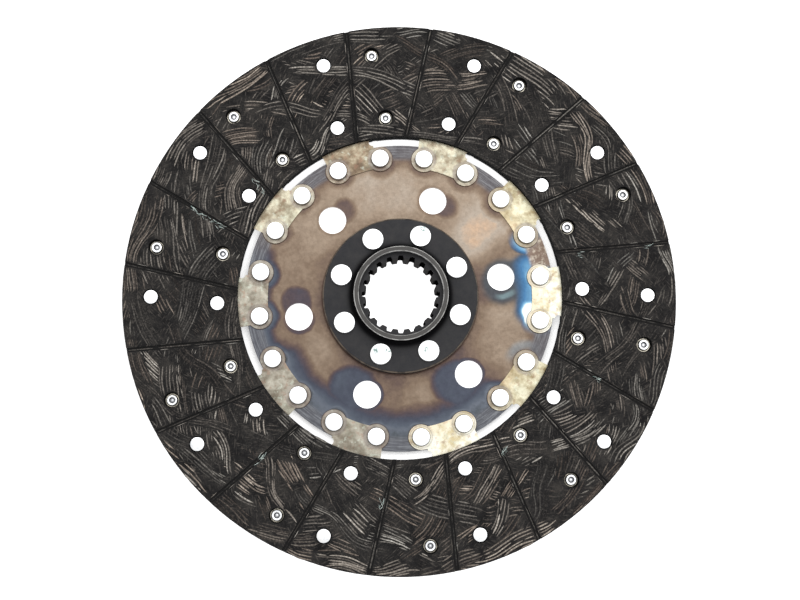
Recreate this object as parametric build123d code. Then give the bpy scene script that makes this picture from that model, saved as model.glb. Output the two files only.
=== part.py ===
from build123d import *
import math
import os

# Rigid clutch disc: a splined hub with a flange, riveted to a flat carrier disc, which
# carries spring-steel cushion segments round its rim.  Each segment is a lobed foot, a
# neck and a broad petal, and two friction facings are riveted to the petals back to back.
# Millimetres.  +Z is the spline axis, the origin is at its foot, on the hub's rear end.

# ---- driving dimensions ----
# friction facings
facing_od = 310.0
facing_id = 182.3
facing_thickness = 3.8
groove_count = 20
groove_width = 2.4
groove_depth = 1.0
groove_lean = 16.8  # distance from the disc's axis to each groove's centre line
groove_phase = 10.7  # degrees from a segment's centre line to a groove's direction
inner_row_inset = 11.25  # inner row of rivets, from the facing's inner edge
outer_row_inset = 15.7  # outer row of rivets, from the facing's outer edge
inner_row_angle = 7.86  # degrees from a segment's centre line to its inner front rivet
outer_row_angle = 5.79  # the same for the outer front rivet
facing_hole_d = 8.7  # counterbores, and clearance holes for the other facing's tails
ledge_thickness = 1.6  # facing left under a rivet's head

# semi-tubular facing rivets
facing_rivet_shank_d = 4.0
facing_rivet_head_d = 7.9
facing_rivet_head_height = 1.0
facing_rivet_tail_d = 5.9
facing_rivet_tail_height = 1.9
facing_rivet_crest_d = 4.4
facing_rivet_bore_d = 2.4
facing_rivet_bore_depth = 1.3

# cushion segments
segment_count = 10
segment_thickness = 1.0
first_segment_angle = -5.5
petal_half_angle = 16.5
petal_inner_inset = 2.0  # petal's inner edge, hidden behind the facing's inner edge
petal_outer_inset = 2.5
petal_corner_radius = 4.0
neck_start_angle = -2.4
foot_angle = 4.75  # degrees from a segment's centre line to the middle of its foot
foot_inset = 11.65  # foot rivets' circle, from the facing's inner edge
lobe_radius = 7.0
foot_waist = 5.2  # rivet circle down to the inner edge between the lobes
relief_radius = 2.1

# carrier disc
carrier_thickness = 2.5
rim_gap = 4.4  # carrier's edge to the facing's inner edge
vent_count = 6
vent_d = 15.5
vent_phase = 11.3

# segment rivets
segment_rivet_shank_d = 5.5
segment_rivet_head_d = 9.8
segment_rivet_head_height = 3.0
segment_rivet_tail_d = 9.0
segment_rivet_tail_height = 2.4

# hub
spline_teeth = 20
spline_minor_d = 39.2
tooth_depth = 2.1
tooth_tip_width = 2.7
tooth_root_width = 4.4
tooth_corner_radius = 0.5
counterbore_step = 1.7  # counterbore's wall outside the spline's major diameter
counterbore_depth = 6.0
boss_wall = 2.8
front_boss_length = 10.5
rear_boss_length = 4.4
boss_edge_chamfer = 0.5
boss_root_fillet = 1.5
spline_lead_in = 0.8
flange_width = 17.3
flange_thickness = 7.6
flange_chamfer = 0.8

# hub rivets
hub_rivet_count = 8
hub_rivet_phase = 26.4
hub_rivet_shank_d = 8.0
hub_rivet_head_d = 11.8
hub_rivet_head_height = 2.2
hub_rivet_tail_d = 12.4
hub_rivet_tail_height = 3.0

rivet_clearance = 0.05  # radial, round every shank
spigot_clearance = 0.05  # radial, hub in the carrier's bore
head_chamfer = 0.4
through = 1.0  # how far a cutter runs past the faces that it cuts

# ---- levels and radii that follow ----
carrier_front = rear_boss_length + carrier_thickness
flange_front = carrier_front + flange_thickness
hub_front = flange_front + front_boss_length
segment_front = carrier_front + segment_thickness
segment_middle = carrier_front + segment_thickness / 2
facing_front = segment_front + facing_thickness
ledge_front = segment_front + ledge_thickness

facing_inner_r = facing_id / 2
facing_outer_r = facing_od / 2
inner_row_r = facing_inner_r + inner_row_inset
outer_row_r = facing_outer_r - outer_row_inset
foot_circle_r = facing_inner_r - foot_inset
carrier_r = facing_inner_r - rim_gap
foot_outer_r = foot_circle_r + lobe_radius
petal_inner_r = facing_inner_r + petal_inner_inset

spline_major_r = spline_minor_d / 2 + tooth_depth
counterbore_r = spline_major_r + counterbore_step
boss_r = counterbore_r + boss_wall
flange_r = boss_r + flange_width
hub_rivet_circle_r = boss_r + flange_width / 2
vent_circle_r = (flange_r + foot_circle_r - lobe_radius) / 2

segment_pitch = 360 / segment_count
foot_rivet_count = 2 * segment_count
foot_half_pitch = segment_pitch / 4
first_foot_rivet_angle = first_segment_angle + foot_angle + foot_half_pitch
facing_rows = ((inner_row_r, inner_row_angle), (outer_row_r, outer_row_angle))


def polar(radius, angle, level=0.0):
    """Place at a radius and an angle in degrees round the axis, at a level."""
    turn = math.radians(angle)
    return Pos(radius * math.cos(turn), radius * math.sin(turn), level)


def ring_sector(inner_r, outer_r, start, end):
    """Flat sector of a ring, between two radii and two angles in degrees."""
    inner = CenterArc((0, 0), inner_r, start, end - start)
    outer = CenterArc((0, 0), outer_r, start, end - start)
    sides = [Line(inner @ 0, outer @ 0), Line(inner @ 1, outer @ 1)]
    return make_face([inner, outer, *sides])


def half_section(*points):
    """Flat half section of a turned piece, from (radius, level) points."""
    return make_face(Plane.XZ * Polyline(*points, close=True))


def turned(*points):
    """Solid of revolution round Z, from the (radius, level) points of its half section."""
    return revolve(half_section(*points), Axis.Z)


def cylinder_between(diameter, place, bottom, top):
    """Cylinder along Z between two levels above a place."""
    drum = Cylinder(diameter / 2, top - bottom, align=(Align.CENTER, Align.CENTER, Align.MIN))
    return place * Pos(0, 0, bottom) * drum


def hole(diameter, place, bottom, top):
    """Cutter for a round hole through everything between two levels."""
    return cylinder_between(diameter, place, bottom - through, top + through)


def counterbore(diameter, place, floor, top):
    """Cutter for a round recess that is open above and has its floor at a level."""
    return cylinder_between(diameter, place, floor, top + through)


# ---- hub ----
def hub_body():
    """Turned hub: rear boss, flange and front boss, bored to the spline's tips."""
    bore_r = spline_minor_d / 2
    shoulder = hub_front - counterbore_depth
    outline = half_section(
        (bore_r + spline_lead_in, 0),
        (boss_r - boss_edge_chamfer, 0),
        (boss_r, boss_edge_chamfer),
        (boss_r, carrier_front),
        (flange_r, carrier_front),
        (flange_r, flange_front - flange_chamfer),
        (flange_r - flange_chamfer, flange_front),
        (boss_r, flange_front),
        (boss_r, hub_front - boss_edge_chamfer),
        (boss_r - boss_edge_chamfer, hub_front),
        (counterbore_r + boss_edge_chamfer, hub_front),
        (counterbore_r, hub_front - boss_edge_chamfer),
        (counterbore_r, shoulder),
        (bore_r + spline_lead_in, shoulder),
        (bore_r, shoulder - spline_lead_in),
        (bore_r, spline_lead_in),
    )
    root = outline.vertices().sort_by_distance((boss_r, 0, flange_front))[0]
    return revolve(fillet(root, boss_root_fillet), Axis.Z)


def spline_space():
    """Outline of one space between two spline teeth, open towards the axis."""
    pitch = math.tau / spline_teeth
    minor_r = spline_minor_d / 2
    tip_angle = (pitch - tooth_tip_width / minor_r) / 2
    root_angle = (pitch - tooth_root_width / spline_major_r) / 2
    tip = (minor_r * math.cos(tip_angle), minor_r * math.sin(tip_angle))
    root = (spline_major_r * math.cos(root_angle), spline_major_r * math.sin(root_angle))
    mouth = (minor_r - through, tip[1])
    one_side = [mouth, tip, root]
    other_side = [(x, -y) for x, y in reversed(one_side)]
    floor = ThreePointArc(root, (spline_major_r, 0), other_side[0])
    return make_face([floor, Polyline(*other_side, *one_side)])


def spline_opening():
    """Outline of the whole spline: its bore and spaces, with rounded tips and roots."""
    pitch = 360 / spline_teeth
    spaces = [Rot(0, 0, pitch * i) * spline_space() for i in range(spline_teeth)]
    opening = Circle(spline_minor_d / 2) + spaces
    return fillet(opening.vertices(), tooth_corner_radius)


def hub():
    """Hub with its internal spline and the holes for its rivets."""
    body = hub_body() - extrude(spline_opening(), hub_front - counterbore_depth)
    return body - hub_rivet_holes()


def hub_rivet_places():
    """Places of the hub rivets, at the carrier's front face."""
    step = 360 / hub_rivet_count
    angles = [hub_rivet_phase + step * i for i in range(hub_rivet_count)]
    return [polar(hub_rivet_circle_r, angle, carrier_front) for angle in angles]


def hub_rivet_holes():
    """Cutters for the hub rivets' holes, through flange and carrier alike."""
    diameter = hub_rivet_shank_d + 2 * rivet_clearance
    places = hub_rivet_places()
    return [hole(diameter, place, -carrier_thickness, flange_thickness) for place in places]


# ---- carrier disc ----
def foot_rivet_places():
    """Places of the segment rivets, at the carrier's front face."""
    step = 360 / foot_rivet_count
    angles = [first_foot_rivet_angle + step * i for i in range(foot_rivet_count)]
    return [polar(foot_circle_r, angle, carrier_front) for angle in angles]


def foot_rivet_holes():
    """Cutters for the segment rivets' holes, through segments and carrier alike."""
    diameter = segment_rivet_shank_d + 2 * rivet_clearance
    places = foot_rivet_places()
    return [hole(diameter, place, -carrier_thickness, segment_thickness) for place in places]


def carrier_disc():
    """Flat carrier disc with its hub bore, vents and rivet holes."""
    vents = PolarLocations(vent_circle_r, vent_count, start_angle=vent_phase)
    outline = Circle(carrier_r) - Circle(boss_r + spigot_clearance)
    outline -= [place * Circle(vent_d / 2) for place in vents]
    plate = extrude(Pos(0, 0, rear_boss_length) * outline, carrier_thickness)
    return plate - hub_rivet_holes() - foot_rivet_holes()


# ---- cushion segments ----
def segment_outline():
    """Outline of a cushion segment whose petal is centred on +X."""
    petal_outer_r = facing_outer_r - petal_outer_inset
    petal = ring_sector(petal_inner_r, petal_outer_r, -petal_half_angle, petal_half_angle)
    corners = petal.vertices().sort_by_distance((facing_outer_r, 0))[:2]
    petal = fillet(corners, petal_corner_radius)
    neck = ring_sector(foot_circle_r, inner_row_r, neck_start_angle, petal_half_angle)
    foot_start = foot_angle - foot_half_pitch
    foot_end = foot_angle + foot_half_pitch
    foot = ring_sector(foot_circle_r - foot_waist, foot_outer_r, foot_start, foot_end)
    lobes = [polar(foot_circle_r, angle) * Circle(lobe_radius) for angle in (foot_start, foot_end)]
    relief_r = (foot_outer_r + petal_inner_r) / 2
    return petal + neck + foot + lobes - polar(relief_r, neck_start_angle) * Circle(relief_radius)


def cushion_segment(index):
    """Spring-steel segment: lobed foot on the carrier, neck, and petal between the facings."""
    turn = Rot(0, 0, first_segment_angle + segment_pitch * index)
    blank = extrude(Pos(0, 0, carrier_front) * turn * segment_outline(), segment_thickness)
    diameter = facing_rivet_shank_d + 2 * rivet_clearance
    cuts = []
    for radius, angle in facing_rows:
        for side in (angle, -angle):
            place = turn * polar(radius, side, carrier_front)
            cuts.append(hole(diameter, place, 0, segment_thickness))
    return blank - cuts - foot_rivet_holes()


# ---- friction facings ----
def row_places(radius, offset, level):
    """Places of one row of rivets, one to a segment, offset from its centre line."""
    angles = [first_segment_angle + segment_pitch * i + offset for i in range(segment_count)]
    return [polar(radius, angle, level) for angle in angles]


def groove_cutters():
    """Cutters for the slanted grooves, each a straight line that passes beside the axis."""
    sides = (Align.MIN, Align.CENTER, Align.CENTER)
    bar = Box(facing_outer_r, groove_width, 2 * groove_depth, align=sides)
    bar = Pos(0, groove_lean, facing_front) * bar
    first_angle = first_segment_angle + groove_phase
    step = 360 / groove_count
    return [Rot(0, 0, first_angle + step * i) * bar for i in range(groove_count)]


def friction_facing():
    """Front facing: grooved ring, counterbored for its own rivets, drilled clear of the others."""
    outline = Circle(facing_outer_r) - Circle(facing_inner_r)
    ring = extrude(Pos(0, 0, segment_front) * outline, facing_thickness)
    cuts = groove_cutters()
    shank_hole_d = facing_rivet_shank_d + 2 * rivet_clearance
    for radius, angle in facing_rows:
        for place in row_places(radius, angle, segment_front):
            cuts.append(hole(shank_hole_d, place, 0, ledge_thickness))
            cuts.append(counterbore(facing_hole_d, place, ledge_thickness, facing_thickness))
        for place in row_places(radius, -angle, segment_front):
            cuts.append(hole(facing_hole_d, place, 0, facing_thickness))
    return ring - cuts


def flipped(shape):
    """The same shape for the rear facing: turned over about a segment's centre line."""
    turn = math.radians(first_segment_angle)
    spine = Axis((0, 0, segment_middle), (math.cos(turn), math.sin(turn), 0))
    return shape.rotate(spine, 180)


# ---- rivets ----
def facing_rivet():
    """Semi-tubular rivet: flat head on the ledge, tail rolled over on the segment's far side."""
    grip = ledge_thickness + segment_thickness
    shank_r = facing_rivet_shank_d / 2
    tail_r = facing_rivet_tail_d / 2
    crest_r = facing_rivet_crest_d / 2
    bore_r = facing_rivet_bore_d / 2
    tail_end = -grip - facing_rivet_tail_height
    return turned(
        (0, facing_rivet_head_height),
        (facing_rivet_head_d / 2, facing_rivet_head_height),
        (facing_rivet_head_d / 2, 0),
        (shank_r, 0),
        (shank_r, -grip),
        (tail_r, -grip),
        (crest_r, tail_end),
        (bore_r, tail_end + facing_rivet_bore_depth),
        (0, tail_end + facing_rivet_bore_depth),
    )


def solid_rivet(shank_d, grip, seat, head_d, head_height, tail_d, tail_height):
    """Solid rivet along Z: its grip ends at the seat, under a flat head, above a formed tail."""
    grip_end = seat - grip
    return turned(
        (0, seat + head_height),
        (head_d / 2 - head_chamfer, seat + head_height),
        (head_d / 2, seat + head_height - head_chamfer),
        (head_d / 2, seat),
        (shank_d / 2, seat),
        (shank_d / 2, grip_end),
        (tail_d / 2, grip_end),
        (tail_d / 2, grip_end - tail_height),
        (0, grip_end - tail_height),
    )


def hub_rivets():
    """Rivets through the flange and the carrier."""
    rivet = solid_rivet(
        shank_d=hub_rivet_shank_d,
        grip=flange_thickness + carrier_thickness,
        seat=flange_thickness,
        head_d=hub_rivet_head_d,
        head_height=hub_rivet_head_height,
        tail_d=hub_rivet_tail_d,
        tail_height=hub_rivet_tail_height,
    )
    return [place * rivet for place in hub_rivet_places()]


def segment_rivets():
    """Rivets through each segment's foot and the carrier."""
    rivet = solid_rivet(
        shank_d=segment_rivet_shank_d,
        grip=segment_thickness + carrier_thickness,
        seat=segment_thickness,
        head_d=segment_rivet_head_d,
        head_height=segment_rivet_head_height,
        tail_d=segment_rivet_tail_d,
        tail_height=segment_rivet_tail_height,
    )
    return [place * rivet for place in foot_rivet_places()]


def facing_rivet_row(radius, angle):
    """One row of the front facing's rivets."""
    rivet = facing_rivet()
    return [place * rivet for place in row_places(radius, angle, ledge_front)]


# ---- the nodes ----
def group(solids):
    """Separate solids as one node."""
    return Compound(children=list(solids))


def build_nodes():
    """Every node's name and shape."""
    front = friction_facing()
    inner_row = facing_rivet_row(inner_row_r, inner_row_angle)
    outer_row = facing_rivet_row(outer_row_r, outer_row_angle)
    nodes = {
        "hub": hub(),
        "hub_rivets": group(hub_rivets()),
        "carrier_disc": carrier_disc(),
        "segment_rivets": group(segment_rivets()),
        "facing_front": front,
        "facing_rear": flipped(front),
        "facing_rivets_front_inner": group(inner_row),
        "facing_rivets_front_outer": group(outer_row),
        "facing_rivets_rear_inner": group(flipped(rivet) for rivet in inner_row),
        "facing_rivets_rear_outer": group(flipped(rivet) for rivet in outer_row),
    }
    for index in range(segment_count):
        nodes[f"cushion_segment_{index + 1:02d}"] = cushion_segment(index)
    return nodes


os.makedirs("parts", exist_ok=True)
for name, shape in build_nodes().items():
    export_step(shape, f"parts/{name}.step")
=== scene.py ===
"""Clutch disc: finishes for the turned, stamped and moulded parts, formed rivets, and the wound yarn
that shows in the ground faces of the friction facings. Lengths are millimetres until a mesh is made."""

import logging
import math
from dataclasses import dataclass, field
from enum import Enum
from typing import Any, Iterable, Sequence

import bpy
import numpy as np
from mathutils import Matrix, Vector


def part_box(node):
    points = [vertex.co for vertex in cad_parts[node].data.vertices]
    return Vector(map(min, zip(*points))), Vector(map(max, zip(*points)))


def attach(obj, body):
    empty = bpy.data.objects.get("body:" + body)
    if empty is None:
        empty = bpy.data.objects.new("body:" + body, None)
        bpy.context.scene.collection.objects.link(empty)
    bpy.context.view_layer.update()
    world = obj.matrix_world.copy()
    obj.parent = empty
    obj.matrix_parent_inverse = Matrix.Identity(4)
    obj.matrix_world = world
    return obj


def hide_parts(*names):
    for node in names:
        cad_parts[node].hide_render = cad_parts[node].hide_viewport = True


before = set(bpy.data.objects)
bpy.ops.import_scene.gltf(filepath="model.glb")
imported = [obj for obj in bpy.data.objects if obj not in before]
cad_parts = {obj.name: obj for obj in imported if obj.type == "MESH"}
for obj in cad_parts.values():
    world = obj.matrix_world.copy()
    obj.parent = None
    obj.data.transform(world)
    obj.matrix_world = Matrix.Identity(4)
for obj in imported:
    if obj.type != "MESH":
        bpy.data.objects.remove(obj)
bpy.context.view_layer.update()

log = logging.getLogger("clutch_disc")

MM = 0.001
Rgb = tuple[int, int, int]
Point = tuple[float, float]
Sector = tuple[float, float, float]
Socket = Any


@dataclass(frozen=True)
class DiscPlan:
    """Sizes and places that the finishes, the yarn and the rivets share, as the solids have them.

    The facings' rivets stand in rows, each given by its circle and its angle to either side of a
    segment's centre line. All angles are degrees.
    """

    facing_inner: float = 91.15
    facing_outer: float = 155.0
    groove_depth: float = 1.0
    first_segment: float = -5.5
    segments: int = 10
    facing_rows: tuple[Point, ...] = ((102.4, 7.86), (139.3, 5.79))
    foot_circle: float = 79.5
    foot_phase: float = 8.25
    foot_rivets: int = 20
    foot_head: float = 4.9
    flange_radius: float = 43.5


DISC = DiscPlan()


class Side(Enum):
    """Which of the two facings a piece belongs to."""

    FRONT = "front"
    REAR = "rear"


class Lean(Enum):
    """Which way round the disc a yarn travels on its way inwards."""

    FORWARD = 1
    BACKWARD = -1


class Shade(Enum):
    """How pale a cushion segment is painted: the passivation's own tone, painted paler on the right as in
    glare and greyer on the left as in shade.
    """

    GREY = "grey"
    BROWN = "brown"
    STRAW = "straw"
    CREAM = "cream"
    GLARE_WHITE = "glare_white"


def linear(colour: Rgb) -> tuple[float, float, float, float]:
    """Turns a display colour into the linear one that a shader takes.

    Args:
        colour: red, green and blue from 0 to 255.

    Returns:
        Linear red, green, blue and an alpha of 1.
    """
    parts = []
    for level in colour:
        share = level / 255
        parts.append(share / 12.92 if share <= 0.04045 else ((share + 0.055) / 1.055) ** 2.4)
    return (parts[0], parts[1], parts[2], 1.0)


# ---------------------------------------------------------------- node sheets


class NodeSheet:
    """Lays out the nodes of one material, in millimetres of the disc's own frame."""

    def __init__(self, name: str) -> None:
        """Starts an empty sheet with a principled shader.

        Args:
            name: the material's name.
        """
        self.material = bpy.data.materials.new(name)
        self.material.use_nodes = True
        self.nodes = self.material.node_tree.nodes
        self.links = self.material.node_tree.links
        self.nodes.clear()
        self.output = self.nodes.new("ShaderNodeOutputMaterial")
        self.shader = self.nodes.new("ShaderNodeBsdfPrincipled")
        self.links.new(self.shader.outputs["BSDF"], self.output.inputs["Surface"])
        coordinates = self.nodes.new("ShaderNodeTexCoord")
        self.place = self.vector("SCALE", coordinates.outputs["Object"], scale=1 / MM)

    def feed(self, target: Socket, value: Any) -> None:
        """Links a socket, or sets its constant.

        Args:
            target: the input to feed.
            value: another node's output, or a plain number or colour.
        """
        if isinstance(value, bpy.types.NodeSocket):
            self.links.new(value, target)
        else:
            target.default_value = value

    def vector(self, operation: str, a: Any, b: Any = None, scale: Any = None) -> Socket:
        """One step of vector arithmetic.

        Args:
            operation: the vector operation's name.
            a: first vector.
            b: second vector, where the operation has one.
            scale: factor, for the scaling operation.

        Returns:
            The result, a number for LENGTH and DOT_PRODUCT.
        """
        node = self.nodes.new("ShaderNodeVectorMath")
        node.operation = operation
        self.feed(node.inputs[0], a)
        if b is not None:
            self.feed(node.inputs[1], b)
        if scale is not None:
            self.feed(node.inputs["Scale"], scale)
        single = operation in ("LENGTH", "DOT_PRODUCT", "DISTANCE")
        return node.outputs["Value" if single else "Vector"]

    def sum(self, operation: str, a: Any, b: Any = None, c: Any = None) -> Socket:
        """One step of arithmetic.

        Args:
            operation: the operation's name.
            a: first number.
            b: second number, where there is one.
            c: third number, where there is one.

        Returns:
            The result.
        """
        node = self.nodes.new("ShaderNodeMath")
        node.operation = operation
        for socket, value in zip(node.inputs, (a, b, c)):
            if value is not None:
                self.feed(socket, value)
        return node.outputs[0]

    def total(self, *terms: Any) -> Socket:
        """Adds any number of terms.

        Args:
            terms: sockets or numbers, at least one of them a socket.

        Returns:
            Their sum.
        """
        result = terms[0]
        for term in terms[1:]:
            result = self.sum("ADD", result, term)
        return result

    def product(self, *terms: Any) -> Socket:
        """Multiplies any number of terms.

        Args:
            terms: sockets or numbers.

        Returns:
            Their product.
        """
        result = terms[0]
        for term in terms[1:]:
            result = self.sum("MULTIPLY", result, term)
        return result

    def most(self, *terms: Any) -> Socket:
        """Picks the greatest of any number of terms.

        Args:
            terms: sockets or numbers.

        Returns:
            The greatest one.
        """
        result = terms[0]
        for term in terms[1:]:
            result = self.sum("MAXIMUM", result, term)
        return result

    def swing(self, noise: Socket, reach: float) -> Socket:
        """Centres a noise on nought.

        Args:
            noise: noise from 0 to 1.
            reach: what its full range from 0 to 1 becomes.

        Returns:
            The noise, from minus half the reach to half of it.
        """
        return self.sum("MULTIPLY", self.sum("SUBTRACT", noise, 0.5), reach)

    def band(self, value: Any, low: float, high: float, edge: float) -> Socket:
        """A share of 1 inside a range, with soft edges.

        Args:
            value: what is measured.
            low: where the range begins.
            high: where it ends.
            edge: width of each soft edge.

        Returns:
            The share.
        """
        return self.product(self.fade(value, low - edge, low), self.fade(value, high + edge, high))

    def attribute(self, name: str) -> tuple[Socket, Socket, Socket]:
        """Three numbers that the mesh keeps at each point.

        Args:
            name: the attribute's name.

        Returns:
            The three numbers.
        """
        node = self.nodes.new("ShaderNodeAttribute")
        node.attribute_name = name
        parts = self.nodes.new("ShaderNodeSeparateXYZ")
        self.links.new(node.outputs["Vector"], parts.inputs[0])
        return parts.outputs["X"], parts.outputs["Y"], parts.outputs["Z"]

    def joined(self, x: Any, y: Any, z: Any = 0.0) -> Socket:
        """Puts three numbers together as coordinates.

        Args:
            x: first number.
            y: second number.
            z: third number.

        Returns:
            The coordinates.
        """
        node = self.nodes.new("ShaderNodeCombineXYZ")
        for socket, value in zip(node.inputs, (x, y, z)):
            self.feed(socket, value)
        return node.outputs[0]

    def fade(self, value: Any, start: float, end: float, low: float = 0.0, high: float = 1.0) -> Socket:
        """Smooth step between two values.

        Args:
            value: what is measured.
            start: where the step begins.
            end: where it ends, which may be less than start.
            low: result at start.
            high: result at end.

        Returns:
            The stepped value.
        """
        node = self.nodes.new("ShaderNodeMapRange")
        node.interpolation_type = "SMOOTHSTEP"
        if end < start:
            start, end, low, high = end, start, high, low
        self.feed(node.inputs["Value"], value)
        for name, number in (("From Min", start), ("From Max", end), ("To Min", low), ("To Max", high)):
            node.inputs[name].default_value = number
        return node.outputs["Result"]

    def noise(self, size: float, detail: float = 3.0, rough: float = 0.55, place: Any = None) -> Any:
        """Noise whose patches are about as wide as a given size.

        Args:
            size: width of a patch, in millimetres.
            detail: octaves.
            rough: how strongly the finer octaves show.
            place: coordinates, the disc's own by default.

        Returns:
            The noise node, with its Fac and Color outputs.
        """
        node = self.nodes.new("ShaderNodeTexNoise")
        self.feed(node.inputs["Vector"], self.place if place is None else place)
        node.inputs["Scale"].default_value = 1 / size
        node.inputs["Detail"].default_value = detail
        node.inputs["Roughness"].default_value = rough
        return node

    def ramp(self, value: Any, stops: Sequence[tuple[float, Rgb]]) -> Socket:
        """Colour along a scale.

        Args:
            value: place on the scale, from 0 to 1.
            stops: places and display colours, in rising order.

        Returns:
            The colour.
        """
        node = self.nodes.new("ShaderNodeValToRGB")
        elements = node.color_ramp.elements
        while len(elements) < len(stops):
            elements.new(1.0)
        for element, (position, colour) in zip(elements, stops):
            element.position = position
            element.color = linear(colour)
        self.feed(node.inputs["Fac"], value)
        return node.outputs["Color"]

    def blend(self, share: Any, first: Any, second: Any, mode: str = "MIX") -> Socket:
        """Mixes two colours.

        Args:
            share: share of the second one.
            first: colour, as a socket or a display colour.
            second: colour, as a socket or a display colour.
            mode: blend mode.

        Returns:
            The mixed colour.
        """
        node = self.nodes.new("ShaderNodeMix")
        node.data_type = "RGBA"
        node.blend_type = mode
        self.feed(node.inputs[0], share)
        for socket, colour in ((node.inputs[6], first), (node.inputs[7], second)):
            self.feed(socket, linear(colour) if isinstance(colour, tuple) else colour)
        return node.outputs[2]

    def stirred(self, reach: float, size: float) -> Socket:
        """Coordinates pushed about by soft noise, so that an edge drawn with them wanders.

        Args:
            reach: how far a point may be pushed, in millimetres.
            size: width of the noise's patches.

        Returns:
            The coordinates.
        """
        push = self.vector("SUBTRACT", self.noise(size, 2.0).outputs["Color"], (0.5, 0.5, 0.5))
        push = self.vector("SCALE", push, scale=2 * reach)
        return self.vector("ADD", self.place, push)

    def round_axis(self, place: Any = None) -> tuple[Socket, Socket]:
        """Radius and angle round the spline's axis.

        Args:
            place: coordinates, the disc's own by default.

        Returns:
            Radius in millimetres and angle in radians.
        """
        parts = self.nodes.new("ShaderNodeSeparateXYZ")
        self.feed(parts.inputs[0], self.place if place is None else place)
        flat = self.nodes.new("ShaderNodeCombineXYZ")
        self.links.new(parts.outputs["X"], flat.inputs["X"])
        self.links.new(parts.outputs["Y"], flat.inputs["Y"])
        radius = self.vector("LENGTH", flat.outputs[0])
        return radius, self.sum("ARCTAN2", parts.outputs["Y"], parts.outputs["X"])

    def height(self) -> Socket:
        """Level along the spline's axis, in millimetres."""
        parts = self.nodes.new("ShaderNodeSeparateXYZ")
        self.links.new(self.place, parts.inputs[0])
        return parts.outputs["Z"]

    def from_nearest(self, polar: tuple[Socket, Socket], circle: float, phase: float, count: int) -> Socket:
        """Distance to the nearest of a ring of points.

        Args:
            polar: radius and angle of the place.
            circle: radius of the ring.
            phase: angle of its first point, in degrees.
            count: how many points it has.

        Returns:
            The distance in millimetres.
        """
        radius, angle = polar
        half = math.pi / count
        turned = self.sum("SUBTRACT", angle, math.radians(phase))
        folded = self.sum("WRAP", turned, half, -half)
        across = self.sum("MULTIPLY", self.sum("COSINE", folded), 2 * circle)
        square = self.sum("MULTIPLY", radius, self.sum("SUBTRACT", radius, across))
        return self.sum("SQRT", self.sum("ADD", square, circle * circle))

    def facing_angle(self, angle: Socket, middle: float, start: float, end: float) -> Socket:
        """How near an angle lies to a given direction.

        Args:
            angle: angle round the axis, in radians.
            middle: the direction, in degrees.
            start: degrees from it where the share is still 1.
            end: degrees from it where it has fallen to 0.

        Returns:
            A share from 1 to 0.
        """
        turned = self.sum("SUBTRACT", angle, math.radians(middle))
        away = self.sum("ABSOLUTE", self.sum("WRAP", turned, math.pi, -math.pi))
        return self.fade(away, math.radians(end), math.radians(start))

    def bumps(self, height: Socket, depth: float, strength: float = 1.0) -> None:
        """Raises the surface by a height map.

        Args:
            height: height from 0 to 1.
            depth: what a height of 1 stands for, in millimetres.
            strength: how strongly it shows.
        """
        node = self.nodes.new("ShaderNodeBump")
        node.inputs["Strength"].default_value = strength
        node.inputs["Distance"].default_value = depth * MM
        self.links.new(height, node.inputs["Height"])
        self.links.new(node.outputs["Normal"], self.shader.inputs["Normal"])

    def surface(self, colour: Any, rough: Any, metal: Any) -> bpy.types.Material:
        """Feeds the shader's main sockets.

        Args:
            colour: base colour.
            rough: roughness.
            metal: 1 for bare metal and 0 for anything else.

        Returns:
            The finished material.
        """
        self.feed(self.shader.inputs["Base Color"], colour)
        self.feed(self.shader.inputs["Roughness"], rough)
        self.feed(self.shader.inputs["Metallic"], metal)
        return self.material


# ------------------------------------------------------------------- finishes


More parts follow.
